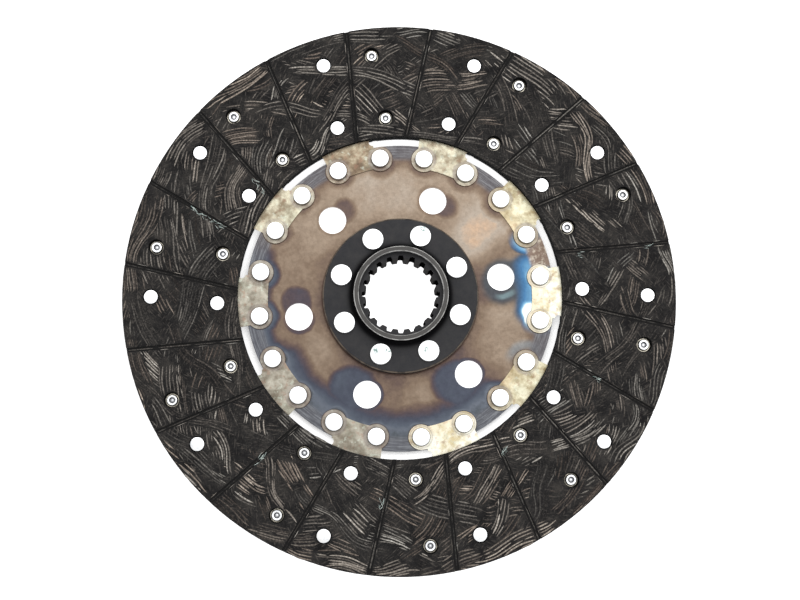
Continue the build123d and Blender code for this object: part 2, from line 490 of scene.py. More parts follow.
@dataclass(frozen=True)
class FrictionResin:
    """Black moulded resin of the facings, ground flat, with fibres in its face and rim."""

    deep: Rgb = (19, 18, 19)
    plain: Rgb = (35, 34, 34)
    dusty: Rgb = (60, 57, 54)
    fibre: Rgb = (88, 83, 78)
    rim_fibre: Rgb = (84, 76, 68)
    # painted shade for the sunk walls and ledges of the grooves and holes
    hollow_shade: Rgb = (9, 9, 10)
    # painted shade, near black, for the facing's inner wall
    wall: Rgb = (2, 2, 3)
    floor: Rgb = (34, 33, 33)
    inner_radius: float = DISC.facing_inner
    outer_radius: float = DISC.facing_outer
    floor_depth: float = DISC.groove_depth
    middle_level: float = 7.4
    face_reach: float = 4.3

    def fibres(self, sheet: NodeSheet, polar: tuple[Socket, Socket], lean: Lean) -> Socket:
        """Fine broken fibres that slant across the facing.

        Args:
            sheet: the material's sheet.
            polar: radius and angle.
            lean: which way they slant.

        Returns:
            A share from 0 to 1.
        """
        radius, angle = polar
        round_way = sheet.product(angle, 122.0 * lean.value)
        along = sheet.product(sheet.sum("ADD", radius, round_way), 0.16)
        across = sheet.product(sheet.sum("SUBTRACT", radius, round_way), 0.85)
        lines = sheet.noise(1.0, 3.0, 0.6, sheet.joined(along, across, 7.0 * lean.value)).outputs["Fac"]
        return sheet.fade(lines, 0.54, 0.66)

    def material(self) -> bpy.types.Material:
        """Makes the material.

        Returns:
            The friction resin.
        """
        sheet = NodeSheet("friction_resin")
        broad = sheet.noise(9.0, 4.0).outputs["Fac"]
        grain = sheet.noise(0.7, 4.0, 0.65).outputs["Fac"]
        mixed = sheet.total(sheet.product(broad, 0.5), sheet.product(grain, 0.5))
        colour = sheet.ramp(mixed, ((0.38, self.deep), (0.5, self.plain), (0.66, self.dusty)))
        radius, angle = sheet.round_axis()
        patch = sheet.noise(11.0, 2.0).outputs["Fac"]
        forward = self.fibres(sheet, (radius, angle), Lean.FORWARD)
        backward = self.fibres(sheet, (radius, angle), Lean.BACKWARD)
        fibres = sheet.most(
            sheet.product(forward, sheet.fade(patch, 0.44, 0.56)),
            sheet.product(backward, sheet.fade(patch, 0.56, 0.44)),
        )
        colour = sheet.blend(sheet.product(fibres, 0.6), colour, self.fibre)
        off_middle = sheet.sum("ABSOLUTE", sheet.sum("SUBTRACT", sheet.height(), self.middle_level))
        sunk = sheet.fade(off_middle, self.face_reach - 0.1, self.face_reach - 0.25)
        on_rim = sheet.fade(radius, self.outer_radius - 0.2, self.outer_radius - 0.05)
        inward = sheet.fade(radius, self.outer_radius - 0.05, self.outer_radius - 0.2)
        # painted shade: all that is sunk below the face is darkened, except the outer rim
        colour = sheet.blend(sheet.product(sunk, inward, 0.82), colour, self.hollow_shade)
        on_wall = sheet.product(sunk, sheet.fade(radius, self.inner_radius + 0.15, self.inner_radius + 0.05))
        # painted shade: the inner wall near black
        colour = sheet.blend(sheet.product(on_wall, 0.97), colour, self.wall)
        floor_level = self.face_reach - self.floor_depth
        on_floor = sheet.band(off_middle, floor_level, floor_level, 0.1)
        colour = sheet.blend(sheet.product(on_floor, 0.8), colour, self.floor)
        wrapped = sheet.joined(sheet.product(angle, 9.0), sheet.product(sheet.height(), 2.2))
        lines = sheet.noise(1.0, 3.0, 0.6, wrapped).outputs["Fac"]
        bound = sheet.product(on_rim, sheet.fade(lines, 0.52, 0.66))
        colour = sheet.blend(sheet.product(bound, 0.6), colour, self.rim_fibre)
        sheet.bumps(sheet.total(grain, sheet.product(bound, 0.6)), 0.08, 0.6)
        sheet.shader.inputs["Specular IOR Level"].default_value = 0.12
        return sheet.surface(colour, sheet.fade(grain, 0.3, 0.7, 0.72, 0.92), 0.0)


@dataclass(frozen=True)
class WoundYarn:
    """Yarn cut open by grinding: twisted plies from brown-black to pale grey."""

    warm: tuple[tuple[float, Rgb], ...] = (
        (0.0, (36, 32, 30)),
        (0.35, (86, 76, 69)),
        (0.7, (142, 128, 116)),
        (1.0, (206, 190, 172)),
    )
    cool: tuple[tuple[float, Rgb], ...] = (
        (0.0, (33, 32, 32)),
        (0.35, (80, 78, 75)),
        (0.7, (136, 133, 127)),
        (1.0, (206, 203, 196)),
    )
    ply_length: float = 1.6

    def material(self) -> bpy.types.Material:
        """Makes the material, which reads each strand's run, tone and warmth from its mesh.

        Returns:
            The yarn.
        """
        sheet = NodeSheet("wound_yarn")
        run, tone, warmth = sheet.attribute("strand")
        twist = sheet.sum("SINE", sheet.product(run, math.tau / self.ply_length))
        fleck = sheet.noise(1.1, 3.0, 0.65).outputs["Fac"]
        shade = sheet.total(tone, sheet.product(twist, 0.04), sheet.swing(fleck, 1.1))
        colour = sheet.blend(warmth, sheet.ramp(shade, self.cool), sheet.ramp(shade, self.warm))
        sheet.bumps(sheet.total(twist, fleck), 0.05, 0.4)
        sheet.shader.inputs["Specular IOR Level"].default_value = 0.2
        return sheet.surface(colour, sheet.fade(fleck, 0.3, 0.7, 0.75, 0.95), 0.0)


@dataclass(frozen=True)
class ChalkDust:
    """Pale green-white dust rubbed on the edges of the grooves."""

    thin: Rgb = (110, 138, 132)
    thick: Rgb = (226, 236, 230)

    def material(self) -> bpy.types.Material:
        """Makes the material.

        Returns:
            The dust.
        """
        sheet = NodeSheet("chalk_dust")
        fleck = sheet.noise(0.8, 3.0, 0.7).outputs["Fac"]
        colour = sheet.ramp(fleck, ((0.38, self.thin), (0.56, self.thick)))
        sheet.bumps(fleck, 0.05, 0.5)
        return sheet.surface(colour, sheet.fade(fleck, 0.3, 0.7, 0.85, 0.95), 0.0)


@dataclass(frozen=True)
class HeatTintedSteel:
    """Carrier disc's steel, tinted from straw and brown through purple and blue by heat.

    A sector gives its middle angle, how far it is even, and how far out it has faded. A spot gives its
    circle and its angle.
    """

    tints: tuple[tuple[float, Rgb], ...] = (
        (0.0, (176, 143, 113)),
        (0.16, (148, 137, 125)),
        (0.3, (133, 118, 103)),
        (0.42, (110, 94, 80)),
        (0.52, (90, 75, 68)),
        (0.62, (72, 63, 67)),
        (0.74, (62, 65, 76)),
        (0.86, (74, 80, 90)),
        (0.93, (89, 94, 103)),
        (1.0, (70, 75, 80)),
    )
    blues: tuple[tuple[float, Rgb], ...] = (
        (0.0, (66, 69, 74)),
        (0.2, (62, 71, 82)),
        (0.42, (58, 82, 108)),
        (0.6, (62, 102, 138)),
        (0.78, (96, 138, 168)),
        (0.9, (150, 182, 198)),
        (1.0, (212, 220, 220)),
    )
    ash: Rgb = (62, 66, 71)
    sheen: Rgb = (104, 122, 126)
    halo: Rgb = (112, 121, 127)
    tan: Rgb = (120, 101, 87)
    cream: Rgb = (206, 196, 178)
    scale: Rgb = (88, 88, 93)
    streak: Rgb = (128, 130, 134)
    # painted shadow colour for the lines round the flange and the feet
    edge_shadow: Rgb = (60, 44, 38)
    vent_circle: float = 58.0
    vent_phase: float = 11.3
    vent_count: int = 6
    spot_lag: float = 8.3
    foot_circle: float = DISC.foot_circle
    foot_phase: float = DISC.foot_phase
    foot_count: int = DISC.foot_rivets
    flange_radius: float = DISC.flange_radius
    grounds: tuple[tuple[float, float, float, float], ...] = (
        (41.0, 5.0, 17.0, -0.13),
        (12.0, 11.0, 24.0, 0.17),
        (66.0, 8.0, 24.0, 0.05),
        (140.0, 12.0, 34.0, 0.07),
        (190.0, 14.0, 46.0, 0.16),
        (250.0, 14.0, 38.0, 0.2),
        (303.0, 8.0, 30.0, 0.18),
        (332.0, 8.0, 26.0, 0.1),
    )
    low_side: Sector = (-100.0, 50.0, 80.0)
    left_side: Sector = (190.0, 20.0, 46.0)
    blue_sector: Sector = (7.0, 14.0, 25.0)
    flank_sector: Sector = (3.5, 11.0, 21.0)
    # centre of the painted glare highlight in the blue stripe
    glare_spot: Point = (73.6, -6.8)
    ash_spot: Point = (59.6, 8.4)
    sheen_spot: Point = (59.8, 1.0)
    halo_foot: float = -27.75
    halo_spot: Point = (73.0, -22.5)
    strip_sector: Sector = (17.5, 4.5, 8.0)

    def ground(self, sheet: NodeSheet, angle: Socket) -> Socket:
        """How far the plain ground is tinted, round the disc.

        Each of the grounds gives its middle angle, how far it is even, how far it fades, and its tint.

        Args:
            sheet: the material's sheet.
            angle: angle round the axis.

        Returns:
            A place on the scale of tints.
        """
        terms = []
        for middle, even, faded, tint in self.grounds:
            terms.append(sheet.product(sheet.facing_angle(angle, middle, even, faded), tint))
        return sheet.total(0.25, *terms)

    def clouds(self, sheet: NodeSheet, polar: tuple[Socket, Socket], low: Socket, left: Socket) -> Socket:
        """Dark clouds that lie beside the vents, wide and blue in the lower half.

        Args:
            sheet: the material's sheet.
            polar: radius and angle.
            low: share of the lower half.
            left: share of the left side.

        Returns:
            A place on the scale of tints.
        """
        beside = sheet.from_nearest(polar, self.vent_circle, self.vent_phase - self.spot_lag, self.vent_count)
        vent = sheet.from_nearest(polar, self.vent_circle, self.vent_phase, self.vent_count)
        small = sheet.product(sheet.fade(beside, 13.5, 4.0), 0.54)
        broad = sheet.product(sheet.fade(beside, 14.0, 7.0), left, 0.62)
        large = sheet.product(sheet.fade(beside, 22.0, 9.0), low, 0.78)
        rim = sheet.product(sheet.fade(vent, 12.5, 8.2), sheet.total(0.4, sheet.product(low, 0.3)))
        return sheet.most(small, broad, large, rim)

    def fringe(self, sheet: NodeSheet, polar: tuple[Socket, Socket], low: Socket) -> Socket:
        """How near a place lies to the segments' feet: scalloped above, a broad band below.

        Args:
            sheet: the material's sheet.
            polar: radius and angle.
            low: share of the lower half.

        Returns:
            A share from 0, well inside, to 1 at the feet's edges.
        """
        rivet = sheet.from_nearest(polar, self.foot_circle, self.foot_phase, self.foot_count)
        near_lobe = sheet.fade(rivet, 17.0, 7.0)
        narrow = sheet.fade(polar[0], 62.0, 80.0)
        broad = sheet.product(sheet.fade(polar[0], 47.0, 78.5), low)
        return sheet.most(near_lobe, narrow, broad)

    def shadow_lines(self, sheet: NodeSheet) -> Socket:
        """Painted shadow: dark lines where the flange and the feet stand on the disc.

        Args:
            sheet: the material's sheet.

        Returns:
            A share from 0 to 1.
        """
        polar = sheet.round_axis()
        close = sheet.from_nearest(polar, self.foot_circle, self.foot_phase, self.foot_count)
        by_flange = sheet.fade(polar[0], self.flange_radius + 1.4, self.flange_radius + 0.2)
        return sheet.most(by_flange, sheet.product(sheet.fade(close, 7.7, 7.15), 0.8))

    def blue_side(
        self, sheet: NodeSheet, polar: tuple[Socket, Socket], cloud: Socket
    ) -> tuple[Socket, Socket]:
        """The bright blue heat-tinted stripe by the right-hand foot, with a painted glare highlight that
        turns it nearly white.

        Args:
            sheet: the material's sheet.
            polar: radius and angle.
            cloud: soft noise.

        Returns:
            Its colour, and a share of 1 where it covers the tints.
        """
        rivet = sheet.from_nearest(polar, self.foot_circle, self.foot_phase, self.foot_count)
        beside = sheet.facing_angle(polar[1], *self.flank_sector)
        flank = sheet.product(sheet.fade(polar[0], 59.0, 74.0), beside, 0.74)
        near = sheet.most(sheet.product(sheet.fade(rivet, 13.0, 7.0), 0.85), flank)
        # painted glare highlight, nearly white, beside the right-hand foot
        white = sheet.product(sheet.fade(sheet.from_nearest(polar, *self.glare_spot, 1), 7.5, 2.0), 0.6)
        shine = sheet.total(near, white, sheet.swing(cloud, 0.15))
        sector = sheet.facing_angle(polar[1], *self.blue_sector)
        share = sheet.product(sector, sheet.fade(near, 0.1, 0.4))
        return sheet.ramp(shine, self.blues), share

    def beside_vent(self, sheet: NodeSheet, polar: tuple[Socket, Socket], colour: Socket) -> Socket:
        """Ashy ring round the right-hand vent, with a pale crescent in it.

        Args:
            sheet: the material's sheet.
            polar: radius and angle.
            colour: the colour under it.

        Returns:
            The colour with the ring.
        """
        ring = sheet.fade(sheet.from_nearest(polar, *self.ash_spot, 1), 15.5, 10.5)
        colour = sheet.blend(sheet.product(ring, 0.92), colour, self.ash)
        vent = sheet.from_nearest(polar, self.vent_circle, self.vent_phase, 1)
        below = sheet.fade(sheet.from_nearest(polar, *self.sheen_spot, 1), 7.0, 1.5)
        crescent = sheet.product(sheet.band(vent, 10.9, 11.9, 2.0), below, 0.8)
        return sheet.blend(crescent, colour, self.sheen)

    def halo_arc(self, sheet: NodeSheet, polar: tuple[Socket, Socket], colour: Socket) -> Socket:
        """Pale arc round the first foot below the blue stripe.

        Args:
            sheet: the material's sheet.
            polar: radius and angle.
            colour: the colour under it.

        Returns:
            The colour with the arc.
        """
        lobe = sheet.from_nearest(polar, self.foot_circle, self.halo_foot, 1)
        above = sheet.fade(sheet.from_nearest(polar, *self.halo_spot, 1), 13.0, 4.0)
        arc = sheet.product(sheet.band(lobe, 9.6, 10.4, 3.4), above, 0.6)
        return sheet.blend(arc, colour, self.halo)

    def margin(
        self, sheet: NodeSheet, polar: tuple[Socket, Socket], bare: tuple[Socket, Socket], colour: Socket
    ) -> tuple[Socket, Socket]:
        """Grey scale drawn round the disc's edge between the feet, and a tan stained strip in one gap.

        Args:
            sheet: the material's sheet.
            polar: radius and angle, stirred a little.
            bare: radius and angle, with nothing stirred.
            colour: the colour under it.

        Returns:
            The colour with the margin, and the share that the scale covers.
        """
        foot = sheet.from_nearest(polar, self.foot_circle, self.foot_phase, self.foot_count)
        edge = sheet.product(sheet.fade(bare[0], 77.0, 80.5), sheet.fade(foot, 6.0, 8.0))
        drawn = sheet.joined(sheet.product(bare[0], 1.6), sheet.product(bare[1], 5.0))
        streaks = sheet.noise(1.0, 3.0, 0.7, drawn).outputs["Fac"]
        scale = sheet.blend(sheet.fade(streaks, 0.44, 0.66), self.scale, self.streak)
        colour = sheet.blend(sheet.product(edge, 0.8), colour, scale)
        sector = sheet.facing_angle(bare[1], *self.strip_sector)
        strip = sheet.product(sector, sheet.fade(bare[0], 74.5, 77.5))
        flakes = sheet.fade(sheet.noise(3.4, 5.0, 0.62).outputs["Fac"], 0.46, 0.68, 0.0, 0.75)
        stained = sheet.blend(flakes, self.tan, self.cream)
        return sheet.blend(sheet.product(strip, 0.9), colour, stained), edge

    def material(self) -> bpy.types.Material:
        """Makes the material.

        Returns:
            The tinted steel.
        """
        sheet = NodeSheet("heat_tinted_steel")
        polar = sheet.round_axis(sheet.stirred(2.4, 17.0))
        angle = sheet.round_axis(sheet.stirred(5.0, 26.0))[1]
        bare = sheet.round_axis()
        cloud = sheet.noise(15.0, 4.0, 0.6).outputs["Fac"]
        mottle = sheet.noise(2.0, 4.0, 0.7).outputs["Fac"]
        low = sheet.facing_angle(angle, *self.low_side)
        left = sheet.facing_angle(angle, *self.left_side)
        fringe = self.fringe(sheet, polar, low)
        cooled = sheet.most(low, sheet.product(left, 0.9), 0.5)
        clouds = self.clouds(sheet, polar, low, left)
        ground = sheet.total(self.ground(sheet, angle), sheet.fade(bare[0], 54.0, 44.0, 0.0, 0.08))
        heat = sheet.most(ground, clouds, sheet.product(fringe, cooled, 0.98))
        heat = sheet.total(heat, sheet.swing(cloud, 0.3), sheet.swing(mottle, 0.05))
        colour = self.beside_vent(sheet, polar, sheet.ramp(heat, self.tints))
        blue, share = self.blue_side(sheet, polar, cloud)
        colour = sheet.blend(share, colour, blue)
        colour = self.halo_arc(sheet, polar, colour)
        colour, edge = self.margin(sheet, polar, bare, colour)
        # painted shadow round the flange and the feet
        colour = sheet.blend(sheet.product(self.shadow_lines(sheet), 0.75), colour, self.edge_shadow)
        fine = sheet.noise(0.5, 3.0, 0.6).outputs["Fac"]
        sheet.bumps(sheet.total(fine, mottle), 0.02, 0.35)
        rough = sheet.total(sheet.fade(mottle, 0.3, 0.7, 0.34, 0.46), sheet.product(edge, 0.08))
        return sheet.surface(colour, rough, 0.9)


@dataclass(frozen=True)
class PassivatedSteel:
    """Cushion segments' spring steel, yellow passivated and stained round the rivets, with painted shade
    under the rivet heads and past the facing's inner edge, and painted highlight rings round the tails.
    """

    shade: Shade
    # dull, plain and pale colour for each paleness; the palest rows stand for painted glare, the grey one for
    # painted shade
    looks: tuple[tuple[Shade, Rgb, Rgb, Rgb], ...] = (
        (Shade.GREY, (118, 109, 95), (147, 141, 128), (168, 163, 150)),
        (Shade.BROWN, (108, 91, 75), (136, 121, 101), (164, 154, 133)),
        (Shade.STRAW, (138, 123, 101), (176, 168, 147), (197, 193, 171)),
        (Shade.CREAM, (158, 142, 108), (188, 180, 152), (208, 204, 180)),
        (Shade.GLARE_WHITE, (204, 190, 152), (224, 220, 200), (232, 231, 220)),
    )
    green: Rgb = (142, 146, 128)
    stain: Rgb = (116, 106, 103)
    scorch: Rgb = (96, 74, 52)
    toast: Rgb = (176, 140, 92)
    rust: Rgb = (142, 106, 88)
    bloom: Rgb = (196, 204, 190)
    line: Rgb = (150, 143, 134)
    # painted shade: under the rivet heads, and on the segment past the facing's inner edge
    shade_black: Rgb = (24, 22, 21)
    # painted highlight: lit segment metal in the clearance holes
    lit_ring: Rgb = (206, 200, 184)
    rivet_circle: float = DISC.foot_circle
    rivet_phase: float = DISC.foot_phase
    rivet_count: int = DISC.foot_rivets
    head_radius: float = DISC.foot_head
    pressed_ring: Point = (6.1, 6.4)
    petal_start: float = 92.3
    tail_places: tuple[Point, ...] = DISC.facing_rows
    tail_ring: Point = (3.35, 3.6)
    first_segment: float = DISC.first_segment
    segments: int = DISC.segments

    def lit_tail_rings(self, sheet: NodeSheet, polar: tuple[Socket, Socket]) -> Socket:
        """Painted highlight: pale rings of lit segment metal round the tails, between painted shade of the
        hole wall and of the tail.

        Args:
            sheet: the material's sheet.
            polar: radius and angle.

        Returns:
            A share from 0 to 1.
        """
        rings = []
        for circle, angle in self.tail_places:
            for side in (angle, -angle):
                away = sheet.from_nearest(polar, circle, self.first_segment + side, self.segments)
                rings.append(sheet.band(away, *self.tail_ring, 0.14))
        return sheet.most(*rings)

    def material(self) -> bpy.types.Material:
        """Makes the material.

        Returns:
            The passivated steel.
        """
        sheet = NodeSheet(f"passivated_steel_{self.shade.value}")
        dull, plain, pale = next(look[1:] for look in self.looks if look[0] is self.shade)
        blotch = sheet.noise(5.5, 5.0, 0.58).outputs["Fac"]
        drift = sheet.noise(12.0, 2.0).outputs["Fac"]
        colour = sheet.ramp(blotch, ((0.32, dull), (0.5, plain), (0.66, pale)))
        if self.shade is not Shade.GLARE_WHITE:
            colour = sheet.blend(sheet.fade(drift, 0.52, 0.66, 0.0, 0.25), colour, self.green)
        flecks = sheet.noise(2.6, 5.0, 0.72).outputs["Fac"]
        colour = sheet.blend(sheet.fade(flecks, 0.54, 0.7, 0.0, 0.36), colour, self.scorch)
        spots = sheet.noise(3.6, 4.0, 0.6).outputs["Fac"]
        colour = sheet.blend(sheet.fade(spots, 0.55, 0.66, 0.0, 0.42), colour, self.rust)
        colour = sheet.blend(sheet.fade(spots, 0.42, 0.34, 0.0, 0.4), colour, self.bloom)
        polar = sheet.round_axis()
        if self.shade in (Shade.CREAM, Shade.GLARE_WHITE):
            inner = sheet.product(sheet.fade(polar[0], 84.0, 75.0), sheet.fade(blotch, 0.36, 0.6, 0.1, 0.5))
            colour = sheet.blend(inner, colour, sheet.blend(0.5, dull, self.toast))
        rivet = sheet.from_nearest(polar, self.rivet_circle, self.rivet_phase, self.rivet_count)
        wandering = sheet.round_axis(sheet.stirred(0.8, 4.0))
        strayed = sheet.from_nearest(wandering, self.rivet_circle, self.rivet_phase, self.rivet_count)
        stained = 0.2 if self.shade is Shade.GLARE_WHITE else 0.55
        patches = sheet.fade(drift, 0.38, 0.56, 0.4, 1.0)
        around = sheet.product(sheet.fade(strayed, 8.0, 6.6), patches, stained)
        colour = sheet.blend(around, colour, self.stain)
        pressed = sheet.band(rivet, *self.pressed_ring, 0.25)
        colour = sheet.blend(sheet.product(pressed, 0.5), colour, self.line)
        # painted shadow under the rivet heads
        shadow = sheet.band(rivet, self.head_radius - 0.5, self.head_radius + 0.2, 0.2)
        colour = sheet.blend(sheet.product(shadow, 0.8), colour, self.shade_black)
        # painted shade on the segment past the facing's inner edge, seen in the clearance holes
        hidden = sheet.fade(polar[0], self.petal_start - 0.4, self.petal_start + 0.2)
        colour = sheet.blend(hidden, colour, self.shade_black)
        patchy = sheet.fade(blotch, 0.38, 0.54, 0.35, 1.0)
        # painted highlight rings round the tails, between painted shade
        colour = sheet.blend(sheet.product(self.lit_tail_rings(sheet, polar), patchy), colour, self.lit_ring)
        fine = sheet.noise(0.6, 3.0, 0.6).outputs["Fac"]
        sheet.bumps(sheet.total(fine, sheet.product(pressed, -1.2)), 0.03, 0.4)
        return sheet.surface(colour, sheet.fade(blotch, 0.35, 0.65, 0.5, 0.36), 0.85)


@dataclass(frozen=True)
class PhosphatedSteel:
    """Hub's black phosphate coat, thin and worn bright on the boss's edges, with painted shade round the boss
    and in the spline.
    """

    coat: Rgb = (35, 35, 38)
    worn: Rgb = (46, 45, 46)
    # painted shade colour for the flange round the boss
    shade_black: Rgb = (13, 13, 14)
    turned: Rgb = (78, 76, 74)
    cut: Rgb = (62, 61, 60)
    bright: Rgb = (206, 205, 202)
    rust: Rgb = (116, 104, 92)
    tip: Rgb = (66, 65, 65)
    # painted shade between the spline's teeth
    root: Rgb = (6, 6, 7)
    tooth_tip: float = 19.6
    spline_front: float = 19.0
    boss_inner: float = 23.4
    boss_outer: float = 26.2
    boss_front: float = 25.0
    flange_radius: float = DISC.flange_radius
    flange_front: float = 14.5

    def material(self) -> bpy.types.Material:
        """Makes the material.

        Returns:
            The phosphated steel.
        """
        sheet = NodeSheet("phosphated_steel")
        cloud = sheet.noise(6.0, 5.0, 0.65).outputs["Fac"]
        grain = sheet.noise(0.5, 3.0, 0.6).outputs["Fac"]
        colour = sheet.ramp(cloud, ((0.38, self.coat), (0.68, self.worn)))
        radius, _ = sheet.round_axis()
        level = sheet.height()
        outside = sheet.fade(radius, self.boss_inner - 0.1, self.boss_inner + 0.3)
        # painted shade: the flange darkened round the boss
        recess = sheet.product(sheet.fade(radius, self.boss_outer + 5.5, self.boss_outer + 1.0), outside)
        colour = sheet.blend(sheet.product(recess, 0.9), colour, self.shade_black)
        in_spline = sheet.product(
            sheet.fade(radius, self.boss_inner - 0.5, self.boss_inner - 1.0),
            sheet.fade(level, self.spline_front - 0.05, self.spline_front - 0.2),
        )
        # painted shade: the spline's walls near black towards the root
        towards_root = sheet.fade(radius, self.tooth_tip + 0.4, self.tooth_tip + 1.2)
        wall = sheet.blend(towards_root, self.tip, self.root)
        colour = sheet.blend(in_spline, colour, wall)
        on_boss = sheet.fade(level, self.boss_front - 0.62, self.boss_front - 0.48)
        rings = sheet.noise(1.0, 3.0, 0.7, sheet.joined(sheet.product(radius, 3.5), 0.0)).outputs["Fac"]
        face = sheet.blend(sheet.fade(rings, 0.35, 0.65), self.cut, self.turned)
        colour = sheet.blend(on_boss, colour, face)
        inner_edge = sheet.fade(radius, self.boss_inner + 0.5, self.boss_inner + 0.35)
        outer_edge = sheet.fade(radius, self.boss_outer - 0.5, self.boss_outer - 0.35)
        wear = sheet.fade(cloud, 0.34, 0.6, 0.25, 1.0)
        edges = sheet.product(sheet.most(inner_edge, outer_edge), on_boss, wear)
        colour = sheet.blend(edges, colour, self.bright)
        # painted shade: no reflection in the shaded recess and spline
        in_shade = sheet.most(sheet.product(recess, sheet.sum("SUBTRACT", 1.0, on_boss)), in_spline)
        sheet.feed(sheet.shader.inputs["Specular IOR Level"], sheet.fade(in_shade, 0.0, 1.0, 0.5, 0.0))
        rim = sheet.product(
            sheet.fade(radius, self.flange_radius - 0.8, self.flange_radius - 0.55),
            sheet.fade(level, self.flange_front - 1.1, self.flange_front - 0.9),
            wear,
        )
        colour = sheet.blend(rim, colour, self.rust)
        sheet.bumps(sheet.total(grain, sheet.product(rings, on_boss, 1.5)), 0.02, 0.4)
        rough = sheet.total(sheet.fade(grain, 0.3, 0.7, 0.48, 0.6), sheet.product(edges, -0.15))
        return sheet.surface(colour, rough, sheet.fade(in_shade, 0.0, 1.0, 0.5, 0.0))


@dataclass(frozen=True)
class BrightZinc:
    """Rivets' bright zinc plate, with a few dark scuffs on the heads and painted shade in the tails' bores.
    """

    plate: Rgb = (246, 246, 246)
    cloudy: Rgb = (226, 228, 230)
    scuff: Rgb = (150, 160, 158)
    smudge: Rgb = (104, 124, 120)
    smudges: tuple[tuple[float, float], ...] = ((34.0, -114.0), (31.9, -103.0), (33.0, -66.0), (39.0, 71.5))
    # painted shade inside the tails' bores
    bore: Rgb = (116, 118, 122)

    def material(self) -> bpy.types.Material:
        """Makes the material, which reads from its mesh how deep in a tail's bore a point lies.

        Returns:
            The zinc plate.
        """
        sheet = NodeSheet("bright_zinc")
        cloud = sheet.noise(4.0, 3.0).outputs["Fac"]
        marks = sheet.noise(1.3, 4.0, 0.7).outputs["Fac"]
        gather = sheet.noise(14.0, 1.0).outputs["Fac"]
        colour = sheet.blend(sheet.fade(cloud, 0.4, 0.65), self.plate, self.cloudy)
        marked = sheet.product(sheet.fade(marks, 0.6, 0.68), sheet.fade(gather, 0.5, 0.58))
        colour = sheet.blend(sheet.product(marked, 0.7), colour, self.scuff)
        polar = sheet.round_axis()
        spots = [sheet.fade(sheet.from_nearest(polar, *place, 1), 3.2, 0.6) for place in self.smudges]
        smudged = sheet.product(sheet.most(*spots), sheet.fade(marks, 0.36, 0.56))
        colour = sheet.blend(smudged, colour, self.smudge)
        # painted shade: bore points read from the mesh are darkened
        shaded, _, _ = sheet.attribute("shaded")
        colour = sheet.blend(shaded, colour, self.bore)
        sheet.bumps(sheet.noise(0.7, 3.0, 0.6).outputs["Fac"], 0.012, 0.3)
        return sheet.surface(colour, sheet.fade(cloud, 0.3, 0.7, 0.26, 0.36), 1.0)


@dataclass(frozen=True)
class StudioWhite:
    """White floor that glows as on a light table, its glow shaped as painted shade: less outside the middle,
    less at the left and right, and least in a ring under the gap round the carrier.
    """

    colour: Rgb = (250, 250, 250)
    paler: Rgb = (252, 252, 252)
    middle_glow: float = 0.95
    side_glow: float = 0.5
    cross_glow: float = 0.3
    middle_radius: float = 70.0
    rim_radius: float = 84.0
    gap_start: float = 85.5
    gap_end: float = 90.0
    # share of the glow left in the painted shade under the gap
    gap_shade: float = 0.35

    def material(self) -> bpy.types.Material:
        """Makes the material.

        Returns:
            The floor's white.
        """
        sheet = NodeSheet("studio_white")
        haze = sheet.noise(400.0, 1.0).outputs["Fac"]
        colour = sheet.ramp(haze, ((0.3, self.colour), (0.7, self.paler)))
        sheet.shader.inputs["Emission Color"].default_value = (1.0, 1.0, 1.0, 1.0)
        radius, angle = sheet.round_axis()
        across = sheet.sum("ABSOLUTE", sheet.sum("SINE", angle))
        # painted shade on the floor: glow dimmed under the gap and at the left and right
        gap = sheet.fade(radius, self.gap_start, self.gap_end, self.gap_shade, 1.0)
        outer = sheet.product(sheet.total(self.side_glow, sheet.product(across, self.cross_glow)), gap)
        inner_share = sheet.fade(radius, self.rim_radius, self.middle_radius)
        glow = sheet.total(
            sheet.product(outer, sheet.sum("SUBTRACT", 1.0, inner_share)),
            sheet.product(inner_share, self.middle_glow),
        )
        sheet.feed(sheet.shader.inputs["Emission Strength"], glow)
        return sheet.surface(colour, 0.9, 0.0)


# --------------------------------------------------------------------- meshes


@dataclass
class MeshStock:
    """Points and faces gathered in millimetres, turned into one object at the end."""

    points: list[np.ndarray] = field(default_factory=list)
    faces: list[np.ndarray] = field(default_factory=list)
    notes: list[np.ndarray] = field(default_factory=list)
    note_name: str = "strand"
    count: int = 0

    def add(self, points: np.ndarray, faces: np.ndarray, notes: np.ndarray | None = None) -> None:
        """Adds a closed form.

        Args:
            points: n by 3 points.
            faces: m by 4 point numbers, the last repeated for a triangle.
            notes: n by 3 values kept with the points.
        """
        self.points.append(points)
        self.faces.append(faces + self.count)
        if notes is not None:
            self.notes.append(notes)
        self.count += len(points)

    def piece(self, name: str, material: bpy.types.Material, slot: str) -> bpy.types.Object:
        """Makes the object and lets it ride on the disc.

        Args:
            name: the piece's name.
            material: its finish.
            slot: the record's material slot; not used.

        Returns:
            The object.
        """
        mesh = bpy.data.meshes.new(name)
        corners = [tuple(dict.fromkeys(face)) for face in np.concatenate(self.faces).tolist()]
        mesh.from_pydata((np.concatenate(self.points) * MM).tolist(), [], corners)
        mesh.shade_smooth()
        if self.notes:
            layer = mesh.attributes.new(self.note_name, "FLOAT_VECTOR", "POINT")
            layer.data.foreach_set("vector", np.concatenate(self.notes).astype(np.float32).ravel())
        mesh.materials.append(material)
        thing = bpy.data.objects.new(name, mesh)
        bpy.context.scene.collection.objects.link(thing)
        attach(thing, "root")
        log.info("%s: %d points", name, self.count)
        return thing


def dress(node: str, material: bpy.types.Material) -> None:
    """Gives a carried-over solid its finish.

    Args:
        node: the solid's name.
        material: its finish.
    """
    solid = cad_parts[node]
    solid.data.materials.clear()
    solid.data.materials.append(material)
    log.info("%s: finished as %s", node, material.name)


def on_circle(radius: float, angle: float) -> Point:
    """Point at a radius and an angle.

    Args:
        radius: distance from the axis.
        angle: angle in degrees.

    Returns:
        Its x and y.
    """
    turn = math.radians(angle)
    return radius * math.cos(turn), radius * math.sin(turn)


